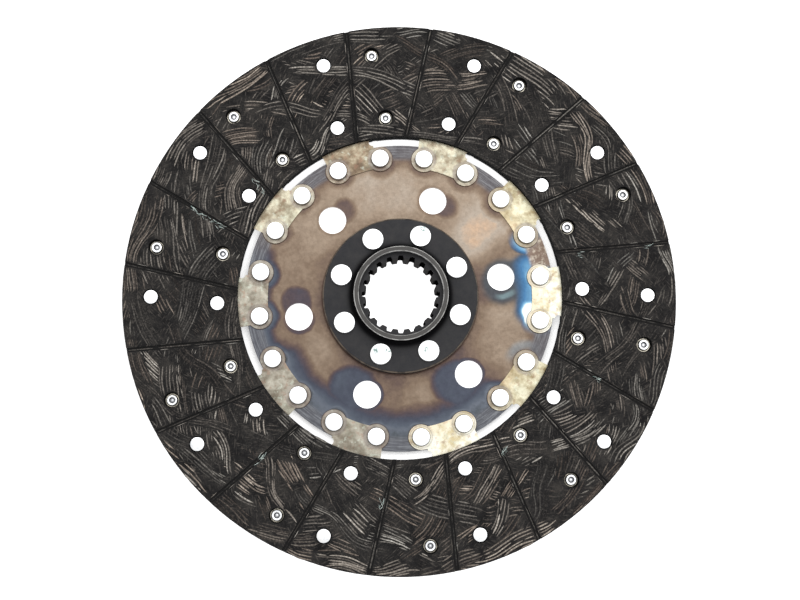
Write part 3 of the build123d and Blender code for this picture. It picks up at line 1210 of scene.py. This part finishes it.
def rounded(corners: Sequence[tuple[float, float, float]], steps: int = 5) -> list[Point]:
    """Rounds the corners of a profile.

    Args:
        corners: radius, level and rounding of each corner, from one end on the axis to the other.
        steps: points along each rounding.

    Returns:
        The profile's points.
    """
    places = [Vector(corner[:2]) for corner in corners]
    result: list[Point] = []
    for index, (x, y, reach) in enumerate(corners):
        if reach <= 0 or index in (0, len(corners) - 1):
            result.append((x, y))
            continue
        here = places[index]
        back = (places[index - 1] - here).normalized() * reach
        ahead = (places[index + 1] - here).normalized() * reach
        for step in range(steps + 1):
            share = step / steps
            point = here + back * (1 - share) ** 2 + ahead * share**2
            result.append((point.x, point.y))
    return result


def lathe(profile: Sequence[Point], segments: int) -> tuple[np.ndarray, np.ndarray]:
    """Turns a profile that starts and ends on the axis into a closed form.

    Args:
        profile: radius and level of each point.
        segments: steps round the axis.

    Returns:
        Points and faces.
    """
    turn = np.arange(segments) * math.tau / segments
    rings = profile[1:-1]
    points = [np.array([[0.0, 0.0, profile[0][1]]])]
    for r, z in rings:
        points.append(np.stack([r * np.cos(turn), r * np.sin(turn), np.full(segments, z)], 1))
    points.append(np.array([[0.0, 0.0, profile[-1][1]]]))
    here = np.arange(segments)
    ahead = (here + 1) % segments
    last = 1 + len(rings) * segments
    faces = [np.stack([np.zeros(segments, int), 1 + here, 1 + ahead, 1 + ahead], 1)]
    for ring in range(len(rings) - 1):
        a = 1 + ring * segments
        b = a + segments
        faces.append(np.stack([a + here, b + here, b + ahead, a + ahead], 1))
    end = last - segments
    faces.append(np.stack([end + here, np.full(segments, last), end + ahead, end + ahead], 1))
    return np.concatenate(points), np.concatenate(faces)


# ---------------------------------------------------------------- the facings


@dataclass
class FacingPlan:
    """Where a facing has its edges, grooves and holes."""

    inner_radius: float = DISC.facing_inner
    outer_radius: float = DISC.facing_outer
    first_segment: float = DISC.first_segment
    segments: int = DISC.segments
    groove_count: int = 20
    groove_width: float = 2.4
    groove_depth: float = DISC.groove_depth
    groove_lean: float = 16.8
    groove_phase: float = 10.7
    hole_diameter: float = 8.7
    rows: tuple[Point, ...] = DISC.facing_rows

    def hole_centres(self) -> np.ndarray:
        """Centres of all counterbores and clearance holes.

        Returns:
            n by 2 points.
        """
        places = []
        for index in range(self.segments):
            middle = self.first_segment + 360 / self.segments * index
            for radius, angle in self.rows:
                places += [on_circle(radius, middle + angle), on_circle(radius, middle - angle)]
        return np.array(places)

    def groove_frames(self) -> list[tuple[np.ndarray, np.ndarray]]:
        """Direction along each groove, and across it.

        Returns:
            Pairs of unit vectors.
        """
        frames = []
        for index in range(self.groove_count):
            angle = self.first_segment + self.groove_phase + 360 / self.groove_count * index
            along = np.array(on_circle(1.0, angle))
            frames.append((along, np.array([-along[1], along[0]])))
        return frames

    def clear(self, points: np.ndarray, margin: float) -> np.ndarray:
        """Which points lie on the facing's flat face, clear of its edges, grooves and holes.

        Args:
            points: n by 2 points.
            margin: distance to keep.

        Returns:
            n truth values.
        """
        radius = np.hypot(points[:, 0], points[:, 1])
        free = (radius > self.inner_radius + margin) & (radius < self.outer_radius - margin)
        for along, across in self.groove_frames():
            offset = np.abs(points @ across - self.groove_lean)
            free &= ~((points @ along > 0) & (offset < self.groove_width / 2 + margin))
        for centre in self.hole_centres():
            away = np.hypot(*(points - centre).T)
            free &= away > self.hole_diameter / 2 + margin
        return free


@dataclass(frozen=True)
class StrayYarn:
    """Short single strands that lie in the resin between the bundles."""

    count: int = 700
    start_share: float = 0.97
    swing: Point = (20.0, 160.0)
    length: Point = (3.0, 14.0)
    width: Point = (0.5, 1.0)
    tone: Point = (0.05, 0.5)
    warmth: Point = (0.0, 0.7)
    wander: Point = (0.1, 0.6)
    wander_length: Point = (1.5, 4.0)
    fewest_points: int = 5
    shortest: float = 2.4


@dataclass(frozen=True)
class GrooveLine:
    """A broken line of strokes along every groove, on its floor or beside its edge."""

    inset: float
    first_gap: float
    last_stroke: float
    stroke: Point
    gap: Point
    width: Point
    tone: Point
    warmth: Point


@dataclass
class YarnLayer:
    """Yarn wound to and fro between a facing's edges, in bundles that dive under one another.

    A pair of values gives the least and the greatest of what is drawn at random.
    """

    plan: FacingPlan
    level: float
    seed: int = 7
    edge_inset: float = 1.6
    start_share: float = 0.96
    swing: Point = (36.0, 120.0)
    edge_share: float = 0.2
    edge_start: Point = (-0.6, 0.2)
    edge_swing: Point = (130.0, 260.0)
    inner_edge_share: float = 0.4
    bundle_length: Point = (20.0, 90.0)
    bend: Point = (0.4, 2.4)
    bend_length: Point = (28.0, 60.0)
    strands: tuple[int, int] = (3, 9)
    pitch: Point = (1.4, 1.9)
    strand_width: Point = (0.85, 1.35)
    width_share: float = 0.8
    dash: Point = (6.0, 38.0)
    pause: Point = (0.3, 1.4)
    spread: float = 0.25
    spread_length: float = 16.0
    ragged_share: float = 0.16
    wander: Point = (0.1, 0.45)
    wander_length: Point = (3.5, 8.0)
    tremor: Point = (0.0, 0.12)
    tremor_length: Point = (1.0, 2.0)
    tone: Point = (0.22, 0.64)
    warmth: Point = (0.0, 0.9)
    shade_change: Point = (-0.2, 0.22)
    sunken_share: float = 0.16
    sunken_tone: Point = (0.02, 0.2)
    taper_length: float = 2.6
    crest: float = 0.07
    root: float = 0.03
    cell: float = 0.5
    step: float = 0.6
    sample: float = 0.4
    covered_limit: float = 0.68
    fewest_points: int = 8
    shortest: float = 2.0
    edge_margin: float = 0.3
    bundles: int = 1700
    stray: StrayYarn = StrayYarn()
    swarf: GrooveLine = GrooveLine(
        inset=0.6,
        first_gap=3.0,
        last_stroke=2.0,
        stroke=(6.0, 26.0),
        gap=(0.3, 2.4),
        width=(0.7, 1.2),
        tone=(0.05, 0.4),
        warmth=(0.0, 0.3),
    )
    swarf_place: Point = (-0.1, 0.3)
    swarf_change: Point = (-0.1, 0.2)
    rubbed: GrooveLine = GrooveLine(
        inset=1.0,
        first_gap=12.0,
        last_stroke=3.0,
        stroke=(1.5, 7.0),
        gap=(4.0, 22.0),
        width=(0.3, 0.6),
        tone=(0.2, 0.85),
        warmth=(0.0, 0.5),
    )
    rubbed_offset: float = 0.2

    def __post_init__(self) -> None:
        """Prepares the random numbers and the map of covered ground."""
        self.random = np.random.default_rng(self.seed)
        self.reach = self.plan.outer_radius + 2
        size = int(2 * self.reach / self.cell) + 1
        self.covered = np.zeros((size, size), bool)
        self.stock = MeshStock()

    def lean(self) -> Lean:
        """Draws which way round a yarn travels.

        Returns:
            Either way, equally often.
        """
        return Lean.FORWARD if self.random.uniform() < 0.5 else Lean.BACKWARD

    def wave(self, along: np.ndarray, reach: Point, length: Point) -> np.ndarray:
        """Draws a gentle wave.

        Args:
            along: distance along the yarn.
            reach: limits of how far it swings.
            length: limits of its length.

        Returns:
            The offset at each point.
        """
        draw = self.random.uniform
        return draw(*reach) * np.sin(along / draw(*length) + draw(0, math.tau))

    def cells(self, points: np.ndarray) -> tuple[np.ndarray, np.ndarray]:
        """Map cells that points fall in.

        Args:
            points: n by 2 points.

        Returns:
            Row and column numbers.
        """
        spots = ((points + self.reach) / self.cell).astype(int).clip(0, len(self.covered) - 1)
        return spots[:, 0], spots[:, 1]

    def path(self, start: float, turn: float, lean: Lean, swing: float, length: float) -> np.ndarray:
        """Centre line of a bundle: tangential at both edges and slanting between them.

        Args:
            start: place in the swing, from 0 at the outer edge to pi at the inner one.
            turn: angle round the disc there, in radians.
            lean: which way round it travels.
            swing: angle round the disc from edge to edge, in degrees.
            length: length of the line.

        Returns:
            n by 2 points, one step apart.
        """
        middle = (self.plan.inner_radius + self.plan.outer_radius) / 2
        throw = (self.plan.outer_radius - self.plan.inner_radius) / 2 - self.edge_inset
        phase = start + np.linspace(0, math.pi, 400)
        radius = middle + throw * np.cos(phase)
        angle = turn + lean.value * (phase - start) / math.pi * math.radians(swing)
        line = np.stack([radius * np.cos(angle), radius * np.sin(angle)], 1)
        run = np.concatenate([[0], np.cumsum(np.hypot(*np.diff(line, axis=0).T))])
        length = min(length, run[-1])
        stations = np.arange(0, length, self.step)
        return np.stack([np.interp(stations, run, line[:, axis]) for axis in (0, 1)], 1)

    @staticmethod
    def normals(line: np.ndarray) -> np.ndarray:
        """Unit vectors square to a line.

        Args:
            line: n by 2 points.

        Returns:
            n by 2 vectors.
        """
        ahead = np.gradient(line, axis=0)
        ahead /= np.linalg.norm(ahead, axis=1, keepdims=True) + 1e-9
        return np.stack([-ahead[:, 1], ahead[:, 0]], 1)

    def strand(self, line: np.ndarray, width: float, tone: float, warmth: float, depth: float = 0.0) -> None:
        """Adds one strand as a closed ridge that stands just proud of the face.

        Args:
            line: its points, one step apart.
            width: its width.
            tone: how pale it is, from 0 to 1.
            warmth: how brown it is, from 0 to 1.
            depth: how far below the face its bed lies.
        """
        run = np.arange(len(line)) * self.step
        keep = np.unique(np.append(np.arange(0, len(line), 2), len(line) - 1))
        line, run = line[keep], run[keep]
        from_end = np.minimum(run, run[-1] - run) + self.step
        taper = np.minimum(1, from_end / self.taper_length) ** 0.8
        side = self.normals(line) * (width / 2 * taper)[:, None]
        low = np.full((len(line), 1), self.level - depth - self.root)
        top = self.level - depth + self.crest * taper[:, None]
        left = np.hstack([line + side, low])
        ridge = np.hstack([line, top])
        right = np.hstack([line - side, low])
        points = np.stack([left, ridge, right], 1).reshape(-1, 3)
        here = np.arange(len(line) - 1) * 3
        faces = []
        for a, b in ((0, 1), (1, 2), (2, 0)):
            faces.append(np.stack([here + a, here + b, here + b + 3, here + a + 3], 1))
        end = (len(line) - 1) * 3
        faces.append(np.array([[0, 2, 1, 1], [end, end + 1, end + 2, end + 2]]))
        notes = np.stack([np.repeat(run, 3), np.full(len(points), tone), np.full(len(points), warmth)], 1)
        self.stock.add(points, np.concatenate(faces), notes)

    def runs(self, line: np.ndarray, shortest: float) -> Iterable[np.ndarray]:
        """Cuts a strand where it is covered, or where the facing is cut away.

        Args:
            line: its points.
            shortest: shortest length to keep.

        Yields:
            Each stretch that shows.
        """
        shows = self.plan.clear(line, self.edge_margin) & ~self.covered[self.cells(line)]
        edges = np.flatnonzero(np.diff(np.concatenate([[0], shows.astype(int), [0]])))
        for start, end in zip(edges[::2], edges[1::2]):
            if (end - start) * self.step >= shortest:
                yield line[start:end]

    def bundle_path(self) -> np.ndarray:
        """Draws where a bundle runs: across the facing, or for a share of them along an edge.

        Returns:
            n by 2 points of its centre line.
        """
        draw = self.random.uniform
        lean = self.lean()
        start, swing = math.acos(1 - 2 * draw(0.0, self.start_share)), draw(*self.swing)
        if draw() < self.edge_share:
            start = draw(*self.edge_start) + (math.pi if draw() < self.inner_edge_share else 0.0)
            swing = draw(*self.edge_swing)
        return self.path(start, draw(0, math.tau), lean, swing, draw(*self.bundle_length))

    def bundle(self) -> None:
        """Lays one bundle under all that lies there already."""
        draw = self.random.uniform
        line = self.bundle_path()
        if len(line) < self.fewest_points:
            return
        along = np.arange(len(line)) * self.step
        bend = self.wave(math.tau * along, self.bend, self.bend_length)
        line = line + self.normals(line) * bend[:, None]
        count = int(self.random.integers(*self.strands))
        pitch = draw(*self.pitch)
        normal = self.normals(line)
        half = count * pitch / 2
        across = np.arange(-half, half, self.sample)
        ground = (line[None] + across[:, None, None] * normal[None]).reshape(-1, 2)
        if self.covered[self.cells(ground)].mean() > self.covered_limit:
            return
        tone, warmth = draw(*self.tone), draw(*self.warmth)
        if draw() < self.sunken_share:
            tone = draw(*self.sunken_tone)
        widest = self.width_share * pitch
        for index in range(count):
            self.lay_strand(line, normal, (index - (count - 1) / 2) * pitch, widest, tone, warmth)
        self.covered[self.cells(ground)] = True

    def lay_strand(
        self, line: np.ndarray, normal: np.ndarray, offset: float, widest: float, tone: float, warmth: float
    ) -> None:
        """Lays one strand of a bundle, with a slight wander and ragged ends.

        Args:
            line: the bundle's centre line.
            normal: unit vectors square to it.
            offset: the strand's distance from it.
            widest: greatest width that leaves a gap beside it.
            tone: the bundle's tone.
            warmth: the bundle's warmth.
        """
        draw = self.random.uniform
        along = np.arange(len(line)) * self.step
        wander = self.wave(along, self.wander, self.wander_length)
        wander += self.wave(along, self.tremor, self.tremor_length)
        fan = 1 + self.spread * np.sin(along / self.spread_length + tone * 40.0)
        path = line + normal * (offset * fan + wander)[:, None]
        ragged = len(path) * self.ragged_share
        first = int(draw(0, ragged))
        last = len(path) - int(draw(0, ragged))
        width = min(draw(*self.strand_width), widest)
        for stretch in self.runs(path[first:last], self.shortest):
            while len(stretch) * self.step >= self.shortest:
                length = int(draw(*self.dash) / self.step)
                shade = min(1.0, max(0.0, tone + draw(*self.shade_change)))
                self.strand(stretch[:length], width, shade, warmth)
                stretch = stretch[length + int(draw(*self.pause) / self.step) :]

    def stray_strand(self) -> None:
        """Lays one short stray strand in the resin between the bundles."""
        draw = self.random.uniform
        stray = self.stray
        lean = self.lean()
        start = math.acos(1 - 2 * draw(0.0, stray.start_share))
        line = self.path(start, draw(0, math.tau), lean, draw(*stray.swing), draw(*stray.length))
        if len(line) < stray.fewest_points:
            return
        along = np.arange(len(line)) * self.step
        wander = draw(*stray.wander) * np.sin(along / draw(*stray.wander_length))
        line = line + self.normals(line) * wander[:, None]
        tone, warmth = draw(*stray.tone), draw(*stray.warmth)
        for stretch in self.runs(line, stray.shortest):
            self.strand(stretch, draw(*stray.width), tone, warmth)
        self.covered[self.cells(line)] = True

    def groove_span(self, inset: float) -> Point:
        """Where a groove's line may start and end.

        Args:
            inset: distance to keep from the facing's edges.

        Returns:
            Both places, measured along the groove.
        """
        plan = self.plan
        first = math.sqrt(plan.inner_radius**2 - plan.groove_lean**2) + inset
        last = math.sqrt(plan.outer_radius**2 - plan.groove_lean**2) - inset
        return first, last

    def clear_of_holes(self, line: np.ndarray) -> bool:
        """Whether a stroke is long enough and keeps clear of the facing's holes.

        Args:
            line: n by 2 points.

        Returns:
            True if it can be laid.
        """
        holes = self.plan.hole_centres()
        apart = np.hypot(*(line[:, None] - holes[None]).transpose(2, 0, 1))
        return len(line) > 2 and apart.min() > self.plan.hole_diameter / 2 + self.edge_margin

    def groove_swarf(self) -> None:
        """Adds the grey line of packed dust that lies along the floor of each groove."""
        draw = self.random.uniform
        swarf = self.swarf
        first, last = self.groove_span(swarf.inset)
        for along, across in self.plan.groove_frames():
            here = first + draw(0, swarf.first_gap)
            packed = draw(*swarf.tone)
            while here < last - swarf.last_stroke:
                end = min(here + draw(*swarf.stroke), last)
                stations = np.arange(here, end, self.step)
                beside = self.plan.groove_lean + draw(*self.swarf_place)
                line = stations[:, None] * along + beside * across
                if self.clear_of_holes(line):
                    tone = packed + draw(*self.swarf_change)
                    self.strand(line, draw(*swarf.width), tone, draw(*swarf.warmth), self.plan.groove_depth)
                here = end + draw(*swarf.gap)

    def rubbed_groove_edges(self) -> None:
        """Adds the pale broken lines where the grooves' edges are rubbed."""
        draw = self.random.uniform
        rubbed = self.rubbed
        first, last = self.groove_span(rubbed.inset)
        for along, across in self.plan.groove_frames():
            for side in (-1, 1):
                beside = self.plan.groove_lean + side * (self.plan.groove_width / 2 + self.rubbed_offset)
                here = first + draw(0, rubbed.first_gap)
                while here < last - rubbed.last_stroke:
                    end = min(here + draw(*rubbed.stroke), last)
                    stations = np.arange(here, end, self.step)
                    line = stations[:, None] * along + beside * across
                    if self.clear_of_holes(line):
                        self.strand(line, draw(*rubbed.width), draw(*rubbed.tone), draw(*rubbed.warmth))
                    here = end + draw(*rubbed.gap)

    def build(self) -> MeshStock:
        """Lays all bundles, the stray strands between them and the lines along the grooves.

        Returns:
            The yarn's mesh.
        """
        for _ in range(self.bundles):
            self.bundle()
        for _ in range(self.stray.count):
            self.stray_strand()
        self.groove_swarf()
        self.rubbed_groove_edges()
        return self.stock


@dataclass(frozen=True)
class DustMark:
    """A place on a groove's edge with dust on it: where, how far it spreads, and its strokes."""

    radius: float
    angle: float
    direction: float
    spread: float
    strokes: int
    scatter: float = 1.3
    turn: float = 35.0
    stroke_length: Point = (1.2, 4.2)
    stroke_width: Point = (0.22, 0.6)


@dataclass
class Facings:
    """The two friction facings with their yarn and dust."""

    plan: FacingPlan = field(default_factory=FacingPlan)
    marks: tuple[DustMark, ...] = (
        DustMark(118.3, 157.9, -34.0, 10.5, 26),
        DustMark(100.6, 142.3, -50.0, 6.5, 14),
        DustMark(105.0, -57.0, 70.0, 2.4, 12),
        DustMark(117.5, -95.3, 80.0, 3.0, 9),
        DustMark(120.2, -130.6, 40.0, 5.0, 10),
        DustMark(117.8, -23.0, -30.0, 1.8, 6),
        DustMark(141.4, 11.4, 5.0, 2.4, 6),
        DustMark(102.9, 13.4, 5.0, 2.0, 5),
    )

    def turned_over(self, points: np.ndarray, middle: float) -> np.ndarray:
        """Turns points over about a segment's centre line, to the rear facing.

        Args:
            points: n by 3 points of the front facing.
            middle: level of the turning axis.

        Returns:
            The turned points.
        """
        axis = np.array([*on_circle(1.0, self.plan.first_segment), 0.0])
        centred = points - [0, 0, middle]
        turned = 2 * (centred @ axis)[:, None] * axis - centred
        return turned + [0, 0, middle]

    def dust(self, level: float) -> MeshStock:
        """Short crossing strokes of dust at each mark.

        Args:
            level: level of the facing's face.

        Returns:
            The dust's mesh.
        """
        layer = YarnLayer(self.plan, level, seed=23, crest=0.09)
        draw = layer.random.uniform
        for mark in self.marks:
            centre = np.array(on_circle(mark.radius, mark.angle))
            along = np.array(on_circle(1.0, mark.direction))
            square = np.array([-along[1], along[0]])
            for _ in range(mark.strokes):
                spot = centre + along * draw(-1, 1) * mark.spread + square * draw(-mark.scatter, mark.scatter)
                heading = np.array(on_circle(1.0, mark.direction + draw(-mark.turn, mark.turn)))
                stations = np.arange(0, draw(*mark.stroke_length), layer.step)
                layer.strand(spot + stations[:, None] * heading, draw(*mark.stroke_width), 0.8, 0.2)
        return layer.stock

    def build(self) -> None:
        """Dresses both facings and lays their yarn and dust."""
        resin = FrictionResin().material()
        yarn = WoundYarn().material()
        front_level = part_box("facing_front")[1].z / MM
        rear_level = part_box("facing_rear")[0].z / MM
        dress("facing_front", resin)
        dress("facing_rear", resin)
        stock = YarnLayer(self.plan, front_level).build()
        stock.piece("facing_yarn_front", yarn, "friction_facing")
        middle = (front_level + rear_level) / 2
        stock.points = [self.turned_over(points, middle) for points in stock.points]
        stock.piece("facing_yarn_rear", yarn, "friction_facing")
        self.dust(front_level).piece("facing_dust_front", ChalkDust().material(), "friction_facing")


# ----------------------------------------------------------------- the rivets


@dataclass
class FacingRivets:
    """Semi-tubular rivets: a flat head in one facing, a rolled tail in the other one's hole."""

    plan: FacingPlan
    ledge: float = 1.6
    segment: float = 1.0
    shank_radius: float = 2.0
    head_radius: float = 3.95
    head_height: float = 1.0
    tail_radius: float = 2.95
    tail_height: float = 1.9
    lip_radius: float = 1.7
    bore_radius: float = 1.3
    bore_depth: float = 1.25
    bore_points: int = 7
    segments: int = 40

    def profile(self) -> list[Point]:
        """Half section, from the head's middle to the bottom of the tail's bore.

        Returns:
            Radius and level of each point, with level 0 under the head.
        """
        seat = -self.ledge - self.segment
        end = seat - self.tail_height
        return rounded(
            (
                (0.0, self.head_height, 0.0),
                (self.head_radius, self.head_height, 0.22),
                (self.head_radius, 0.0, 0.1),
                (self.shank_radius, 0.0, 0.0),
                (self.shank_radius, seat, 0.0),
                (self.tail_radius - 0.15, seat, 0.1),
                (self.tail_radius, seat - 0.75, 0.5),
                (self.tail_radius - 0.08, end, 0.3),
                (self.lip_radius, end + 0.05, 0.15),
                (self.bore_radius, end + self.bore_depth, 0.3),
                (0.0, end + self.bore_depth - 0.3, 0.0),
            )
        )

    def row_stock(self, side: Side, facings: Facings, ledge_level: float, middle: float) -> MeshStock:
        """All rivets of one facing.

        Args:
            side: whose rivets they are.
            facings: the facings, for turning rivets over.
            ledge_level: level of the front facing's ledges.
            middle: level of the turning axis.

        Returns:
            Their mesh.
        """
        points, faces = lathe(self.profile(), self.segments)
        shaded = np.zeros((len(points), 3))
        shaded[-1 - self.bore_points * self.segments : -1, 0] = 1.0
        shaded[-1, 0] = 0.0
        stock = MeshStock(note_name="shaded")
        for index in range(self.plan.segments):
            line = self.plan.first_segment + 360 / self.plan.segments * index
            for radius, angle in self.plan.rows:
                placed = points + [*on_circle(radius, line + angle), ledge_level]
                if side is Side.REAR:
                    placed = facings.turned_over(placed, middle)
                stock.add(placed, faces, shaded)
        return stock

    def build(self, facings: Facings, zinc: bpy.types.Material) -> None:
        """Makes both facings' rivets in place of the plain ones.

        Args:
            facings: the facings.
            zinc: the rivets' finish.
        """
        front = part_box("facing_front")
        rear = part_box("facing_rear")
        middle = (front[1].z + rear[0].z) / 2 / MM
        ledge_level = front[0].z / MM + self.ledge
        for side in Side:
            name = f"facing_rivets_{side.value}"
            stock = self.row_stock(side, facings, ledge_level, middle)
            piece = stock.piece(f"{name}_formed", zinc, "rivet_steel")
            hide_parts(f"{name}_inner", f"{name}_outer")


@dataclass
class SolidRivets:
    """A ring of solid rivets with flat heads and formed tails."""

    node: str
    circle: float
    phase: float
    count: int
    shank_radius: float
    head_radius: float
    head_height: float
    tail_radius: float
    tail_height: float
    edge: float = 0.35
    segments: int = 56

    def build(self, zinc: bpy.types.Material) -> None:
        """Makes the ring in place of the plain one.

        Args:
            zinc: the rivets' finish.
        """
        low, high = (corner.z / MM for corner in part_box(self.node))
        seat = high - self.head_height
        grip_end = low + self.tail_height
        profile = rounded(
            (
                (0.0, high, 0.0),
                (self.head_radius, high, self.edge),
                (self.head_radius, seat, 0.15),
                (self.shank_radius, seat, 0.0),
                (self.shank_radius, grip_end, 0.0),
                (self.tail_radius, grip_end, 0.2),
                (self.tail_radius - 0.25, low, 0.8),
                (0.0, low, 0.0),
            )
        )
        points, faces = lathe(profile, self.segments)
        stock = MeshStock()
        for index in range(self.count):
            spot = on_circle(self.circle, self.phase + 360 / self.count * index)
            stock.add(points + [*spot, 0.0], faces)
        piece = stock.piece(f"{self.node}_formed", zinc, "rivet_steel")
        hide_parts(self.node)


# ------------------------------------------------------- carrier, feet and hub


@dataclass
class Plates:
    """Hub, carrier disc and cushion segments, which keep their solids' shapes."""

    # painted light: segments on the right pale as in glare, those on the left grey as in shade
    shades: tuple[Shade, ...] = (
        Shade.GLARE_WHITE,
        Shade.CREAM,
        Shade.STRAW,
        Shade.BROWN,
        Shade.STRAW,
        Shade.GREY,
        Shade.GREY,
        Shade.GREY,
        Shade.GLARE_WHITE,
        Shade.CREAM,
    )

    def build(self) -> None:
        """Dresses the solids."""
        dress("hub", PhosphatedSteel().material())
        dress("carrier_disc", HeatTintedSteel().material())
        finishes = {shade: PassivatedSteel(shade).material() for shade in Shade}
        for index, shade in enumerate(self.shades):
            dress(f"cushion_segment_{index + 1:02d}", finishes[shade])


# ------------------------------------------------------------------ the studio


@dataclass
class Studio:
    """White floor, soft light from above and a camera a little below the disc's axis.

    The floor's reach and the softbox's place and size are metres, as in the scene itself.
    """

    focal_pixels: float = 1427.7
    image_width: float = 800.0
    pixel: float = 0.5594
    axis_shift: Point = (0.535, 4.26)
    axis_tilt: tuple[float, float, float] = (0.028, 0.119, 0.9925)
    face_level: float = 11.7
    sensor: float = 36.0
    floor_reach: float = 2.0
    floor_drop: float = 0.05
    dome: float = 0.85
    softbox_place: tuple[float, float, float] = (0.12, 0.30, 0.95)
    softbox_size: float = 0.9
    softbox_power: float = 4.2

    def floor(self) -> None:
        """Lays the floor under the disc."""
        half = self.floor_reach
        mesh = bpy.data.meshes.new("studio_floor")
        low = -self.floor_drop * MM
        corners = [(-half, -half, low), (half, -half, low), (half, half, low), (-half, half, low)]
        mesh.from_pydata(corners, [], [(0, 1, 2, 3)])
        mesh.materials.append(StudioWhite().material())
        floor = bpy.data.objects.new("studio_floor", mesh)
        bpy.context.scene.collection.objects.link(floor)

    def lights(self) -> None:
        """Sets the dome and the softbox."""
        world = bpy.data.worlds.new("soft_dome")
        world.use_nodes = True
        background = world.node_tree.nodes["Background"]
        background.inputs["Color"].default_value = (1.0, 1.0, 1.0, 1.0)
        background.inputs["Strength"].default_value = self.dome
        bpy.context.scene.world = world
        light = bpy.data.lights.new("softbox", "AREA")
        light.shape = "SQUARE"
        light.size = self.softbox_size
        light.energy = self.softbox_power
        lamp = bpy.data.objects.new("softbox", light)
        lamp.location = self.softbox_place
        lamp.rotation_euler = (-Vector(self.softbox_place)).to_track_quat("-Z", "Y").to_euler()
        bpy.context.scene.collection.objects.link(lamp)

    def camera(self) -> None:
        """Sets the camera."""
        tilt = Vector(self.axis_tilt).normalized()
        turn = Vector((0, 0, 1)).rotation_difference(tilt).to_matrix()
        back = turn.transposed()
        aim = Vector((-self.axis_shift[0], -self.axis_shift[1], self.focal_pixels))
        place = (back @ aim) * self.pixel * MM + Vector((0, 0, self.face_level * MM))
        lens = bpy.data.cameras.new("portrait")
        lens.sensor_width = self.sensor
        lens.lens = self.sensor * self.focal_pixels / self.image_width
        lens.clip_start, lens.clip_end = 0.01, 20.0
        camera = bpy.data.objects.new("portrait", lens)
        camera.matrix_world = Matrix.Translation(place) @ back.to_4x4()
        bpy.context.scene.collection.objects.link(camera)
        bpy.context.scene.camera = camera

    def build(self) -> None:
        """Sets up floor, lights, camera and a plain view transform."""
        self.floor()
        self.lights()
        self.camera()
        bpy.context.scene.view_settings.view_transform = "Standard"
        bpy.context.scene.view_settings.look = "None"


def main() -> None:
    """Builds every sub-assembly in order."""
    logging.basicConfig(level=logging.INFO, format="%(name)s: %(message)s")
    zinc = BrightZinc().material()
    facings = Facings()
    Plates().build()
    facings.build()
    FacingRivets(facings.plan).build(facings, zinc)
    SolidRivets(
        node="hub_rivets",
        circle=34.85,
        phase=26.4,
        count=8,
        shank_radius=4.0,
        head_radius=5.9,
        head_height=2.2,
        tail_radius=6.2,
        tail_height=3.0,
    ).build(zinc)
    SolidRivets(
        node="segment_rivets",
        circle=DISC.foot_circle,
        phase=DISC.foot_phase,
        count=DISC.foot_rivets,
        shank_radius=2.75,
        head_radius=DISC.foot_head,
        head_height=3.0,
        tail_radius=4.5,
        tail_height=2.4,
    ).build(zinc)
    Studio().build()


if __name__ == "__main__":
    main()
